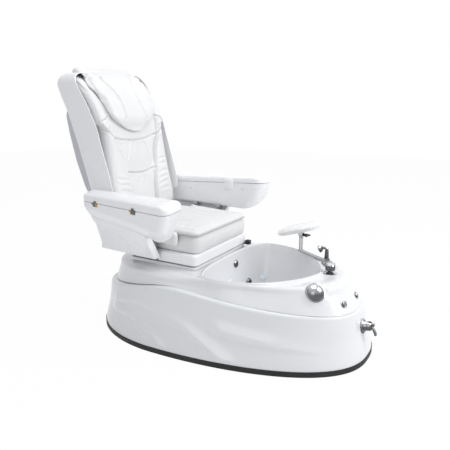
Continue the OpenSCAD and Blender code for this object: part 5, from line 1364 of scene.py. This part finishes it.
def lay_floor(stage):
    h = FLOOR_HALF
    floor = new_object("floor", [(-h, -h, 0), (h, -h, 0), (h, h, 0), (-h, h, 0)], [(0, 1, 2, 3)])
    material = bpy.data.materials.new("studio_floor")
    material.use_nodes = True
    tree = material.node_tree
    shader = tree.nodes["Principled BSDF"]
    place = node_of(tree, "ShaderNodeTexCoord").outputs["Object"]
    tint = tinted(tree, spread(tree, noise_of(tree, place, 0.8), 0, 1), *FLOOR_SHADES)
    tree.links.new(tint, shader.inputs["Base Color"])
    shader.inputs["Roughness"].default_value = 0.9
    shader.inputs["Specular IOR Level"].default_value = 0.0
    glow = node_of(tree, "ShaderNodeEmission")
    glow.inputs["Strength"].default_value = 1.0
    seen_as(tree, stage.floor_white, shader, glow, "Material Output")
    floor.data.materials.append(material)


def light_world(stage):
    world = bpy.data.worlds.new("studio")
    world.use_nodes = True
    bpy.context.scene.world = world
    tree = world.node_tree
    soft = tree.nodes["Background"]
    soft.inputs["Color"].default_value = SKY_TINT
    soft.inputs["Strength"].default_value = stage.sky
    white = node_of(tree, "ShaderNodeBackground")
    white.inputs["Color"].default_value = WHITE
    seen_as(tree, 1.0, soft, white, "World Output")


def hang_lamps(stage):
    for name, place, aim, size, power in (
            ("front_softbox", (0.9, -3.4, 3.0), (0, 0, 0.6), 2.6, stage.front_light),
            ("top_softbox", (0.4, 0.2, 4.2), (0, 0, 0.5), 3.0, stage.top_light),
            ("side_softbox", (-3.6, -0.6, 1.6), (0, 0, 0.6), 2.4, stage.side_light)):
        lamp = bpy.data.lights.new(name, "AREA")
        lamp.shape, lamp.size, lamp.energy = "SQUARE", size, power
        holder = bpy.data.objects.new(name, lamp)
        holder.location = place
        holder.rotation_euler = (Vector(aim) - Vector(place)).to_track_quat("-Z", "Y").to_euler()
        bpy.context.scene.collection.objects.link(holder)


def seen_only(tree, share):
    """Light Path's camera, glossy and transmission rays, times a share."""
    path = node_of(tree, "ShaderNodeLightPath")
    first = node_of(tree, "ShaderNodeMath", operation="MAXIMUM")
    tree.links.new(path.outputs["Is Camera Ray"], first.inputs[0])
    tree.links.new(path.outputs["Is Glossy Ray"], first.inputs[1])
    second = node_of(tree, "ShaderNodeMath", operation="MAXIMUM")
    tree.links.new(first.outputs[0], second.inputs[0])
    tree.links.new(path.outputs["Is Transmission Ray"], second.inputs[1])
    times = node_of(tree, "ShaderNodeMath", operation="MULTIPLY")
    tree.links.new(second.outputs[0], times.inputs[0])
    times.inputs[1].default_value = share
    return times.outputs[0]


# ---------------------------------------------------------------- settings


class SPA_shell_settings(bpy.types.PropertyGroup):
    wave_rise: FloatProperty(name="Wave rise", description="How far the moulded waves stand out",
                             default=0.013, min=0, max=0.016, unit="LENGTH")
    base_columns: IntProperty(name="Base columns", description="Points round the base's outline",
                              default=360, min=72, max=720)
    skirt_rows: IntProperty(name="Skirt rows", description="Rows of points up the skirt",
                            default=84, min=20, max=200)
    tub_columns: IntProperty(name="Tub columns", description="Points round the foot bath",
                             default=320, min=60, max=720)


class SPA_soft_settings(bpy.types.PropertyGroup):
    pressure: FloatProperty(name="Pressure", description="Pressure that swells the cushions",
                            default=4.0, min=0, max=12)
    seam_width: FloatProperty(name="Seam width", description="Half width of a sewn channel",
                              default=0.0052, min=0.002, max=0.012, unit="LENGTH")
    seam_depth: FloatProperty(name="Seam depth", description="Depth of a sewn channel",
                              default=0.0072, min=0, max=0.012, unit="LENGTH")


class SPA_look_settings(bpy.types.PropertyGroup):
    gelcoat: FloatVectorProperty(name="Gelcoat", description="Colour of the glossy mouldings",
                                 default=(0.80, 0.805, 0.82), subtype="COLOR", min=0, max=1)
    seat_shell: FloatVectorProperty(name="Seat shell", description="Colour of the armrests and the back",
                                    default=(0.92, 0.915, 0.93), subtype="COLOR", min=0, max=1)
    # The rear cover's grey is painted shade over the chair's rear.
    cover: FloatVectorProperty(name="Rear cover", description="Colour of the rear cover",
                               default=(0.60, 0.60, 0.64), subtype="COLOR", min=0, max=1)
    leather: FloatVectorProperty(name="Leather", description="Colour of the upholstery",
                                 default=(0.78, 0.78, 0.78), subtype="COLOR", min=0, max=1)


class SPA_stage_settings(bpy.types.PropertyGroup):
    camera_place: FloatVectorProperty(name="Camera place", description="Where the camera stands",
                                      default=(-2.3375, -1.383, 1.250), subtype="TRANSLATION")
    camera_turn: FloatVectorProperty(name="Camera turn", description="Which way the camera looks",
                                     default=(math.radians(76), 0, math.radians(-60)), subtype="EULER")
    lens: FloatProperty(name="Lens", description="Focal length on a 36 mm sensor",
                        default=41.12, min=20, max=120, unit="CAMERA")
    floor_white: FloatProperty(name="Floor white", description="Share of plain white in the floor",
                               default=0.975, min=0, max=1, subtype="FACTOR")
    sky: FloatProperty(name="Ambient", description="Strength of the even light", default=0.44, min=0, max=2)
    front_light: FloatProperty(name="Front softbox", description="Power of the front softbox",
                               default=108, min=0, max=1000, unit="POWER")
    top_light: FloatProperty(name="Top softbox", description="Power of the top softbox",
                             default=52, min=0, max=1000, unit="POWER")
    side_light: FloatProperty(name="Side softbox", description="Power of the side softbox",
                              default=21, min=0, max=1000, unit="POWER")


# ---------------------------------------------------------------- operators


class SPA_OT_stage(bpy.types.Operator):
    """Camera, floor, world and soft studio lights"""
    bl_idname = "spa.stage"
    bl_label = "Stage"

    def execute(self, context):
        stage = context.scene.spa_stage
        for build in (place_camera, lay_floor, light_world, hang_lamps):
            build(stage)
        return {"FINISHED"}


class SPA_OT_finishes(bpy.types.Operator):
    """Finishes of every surface, and the CAD nodes that keep their shape"""
    bl_idname = "spa.finishes"
    bl_label = "Finishes and fittings"

    def execute(self, context):
        FINISHES.update(make_finishes(context.scene.spa_look))
        for name, (finish_name, bevel) in NODE_FINISH.items():
            dress_node(name, FINISHES[finish_name], bevel)
        return {"FINISHED"}


class SPA_OT_skirt(bpy.types.Operator):
    """Skirt with its ledge and waves, service panel and rubber foot trim"""
    bl_idname = "spa.skirt"
    bl_label = "Skirt and trim"

    def execute(self, context):
        build_skirt(context.scene.spa_shell)
        build_trim(context.scene.spa_shell)
        return {"FINISHED"}


class SPA_OT_tub(bpy.types.Operator):
    """Deck, rim and basin in one moulding"""
    bl_idname = "spa.tub"
    bl_label = "Foot bath"

    def execute(self, context):
        build_tub(context.scene.spa_shell)
        return {"FINISHED"}


class SPA_OT_tray(bpy.types.Operator):
    """Pan under the seat"""
    bl_idname = "spa.tray"
    bl_label = "Seat pan"

    def execute(self, context):
        build_tray()
        return {"FINISHED"}


class SPA_OT_arms(bpy.types.Operator):
    """Armrest bodies and their side panels, right and left"""
    bl_idname = "spa.arms"
    bl_label = "Armrests"

    def execute(self, context):
        for side in (-1, 1):
            build_arm(side)
        return {"FINISHED"}


class SPA_OT_lids(bpy.types.Operator):
    """Hinged armrest lids, right and left"""
    bl_idname = "spa.lids"
    bl_label = "Armrest lids"

    def execute(self, context):
        for side in (-1, 1):
            build_lid(side)
        return {"FINISHED"}


class SPA_OT_back(bpy.types.Operator):
    """Back shell, a grey sheet of painted shade in the gap round its cushion, and its rear cover"""
    bl_idname = "spa.back"
    bl_label = "Back shell"

    def execute(self, context):
        build_back_shell()
        build_gap_shade()
        build_back_cover()
        return {"FINISHED"}


class SPA_OT_seat_cushions(bpy.types.Operator):
    """Seat cushion, seat pad and side bolsters"""
    bl_idname = "spa.seat_cushions"
    bl_label = "Seat cushions"

    def execute(self, context):
        soft = context.scene.spa_soft
        build_seat_cushion(soft)
        build_seat_pad(soft)
        build_bolsters(soft)
        return {"FINISHED"}


class SPA_OT_back_cushions(bpy.types.Operator):
    """Back cushion and head pillow"""
    bl_idname = "spa.back_cushions"
    bl_label = "Back cushion and pillow"

    def execute(self, context):
        soft = context.scene.spa_soft
        build_back_cushion(soft)
        build_pillow(soft)
        return {"FINISHED"}


OPERATORS = (SPA_OT_stage, SPA_OT_finishes, SPA_OT_skirt, SPA_OT_tub, SPA_OT_tray, SPA_OT_arms,
             SPA_OT_lids, SPA_OT_back, SPA_OT_seat_cushions, SPA_OT_back_cushions)


class SPA_PT_panel(bpy.types.Panel):
    """Lists the steps and the settings of the spa chair"""
    bl_idname = "SPA_PT_panel"
    bl_label = "Spa chair"
    bl_space_type = "VIEW_3D"
    bl_region_type = "UI"
    bl_category = "Spa chair"

    def draw(self, context):
        for operator in OPERATORS:
            self.layout.operator(operator.bl_idname)
        for name in SETTINGS:
            box = self.layout.box()
            group = getattr(context.scene, name)
            for key in group.bl_rna.properties.keys()[2:]:
                box.prop(group, key)


SETTINGS = {"spa_shell": SPA_shell_settings, "spa_soft": SPA_soft_settings,
            "spa_look": SPA_look_settings, "spa_stage": SPA_stage_settings}
CLASSES = (*SETTINGS.values(), *OPERATORS, SPA_PT_panel)


def register():
    for cls in CLASSES:
        bpy.utils.register_class(cls)
    for name, group in SETTINGS.items():
        setattr(bpy.types.Scene, name, bpy.props.PointerProperty(type=group))


def unregister():
    for name in SETTINGS:
        delattr(bpy.types.Scene, name)
    for cls in reversed(CLASSES):
        bpy.utils.unregister_class(cls)


def main():
    register()
    bpy.ops.spa.stage()
    bpy.ops.spa.finishes()
    bpy.ops.spa.skirt()
    bpy.ops.spa.tub()
    bpy.ops.spa.tray()
    bpy.ops.spa.arms()
    bpy.ops.spa.lids()
    bpy.ops.spa.back()
    bpy.ops.spa.seat_cushions()
    bpy.ops.spa.back_cushions()


if __name__ == "__main__":
    main()
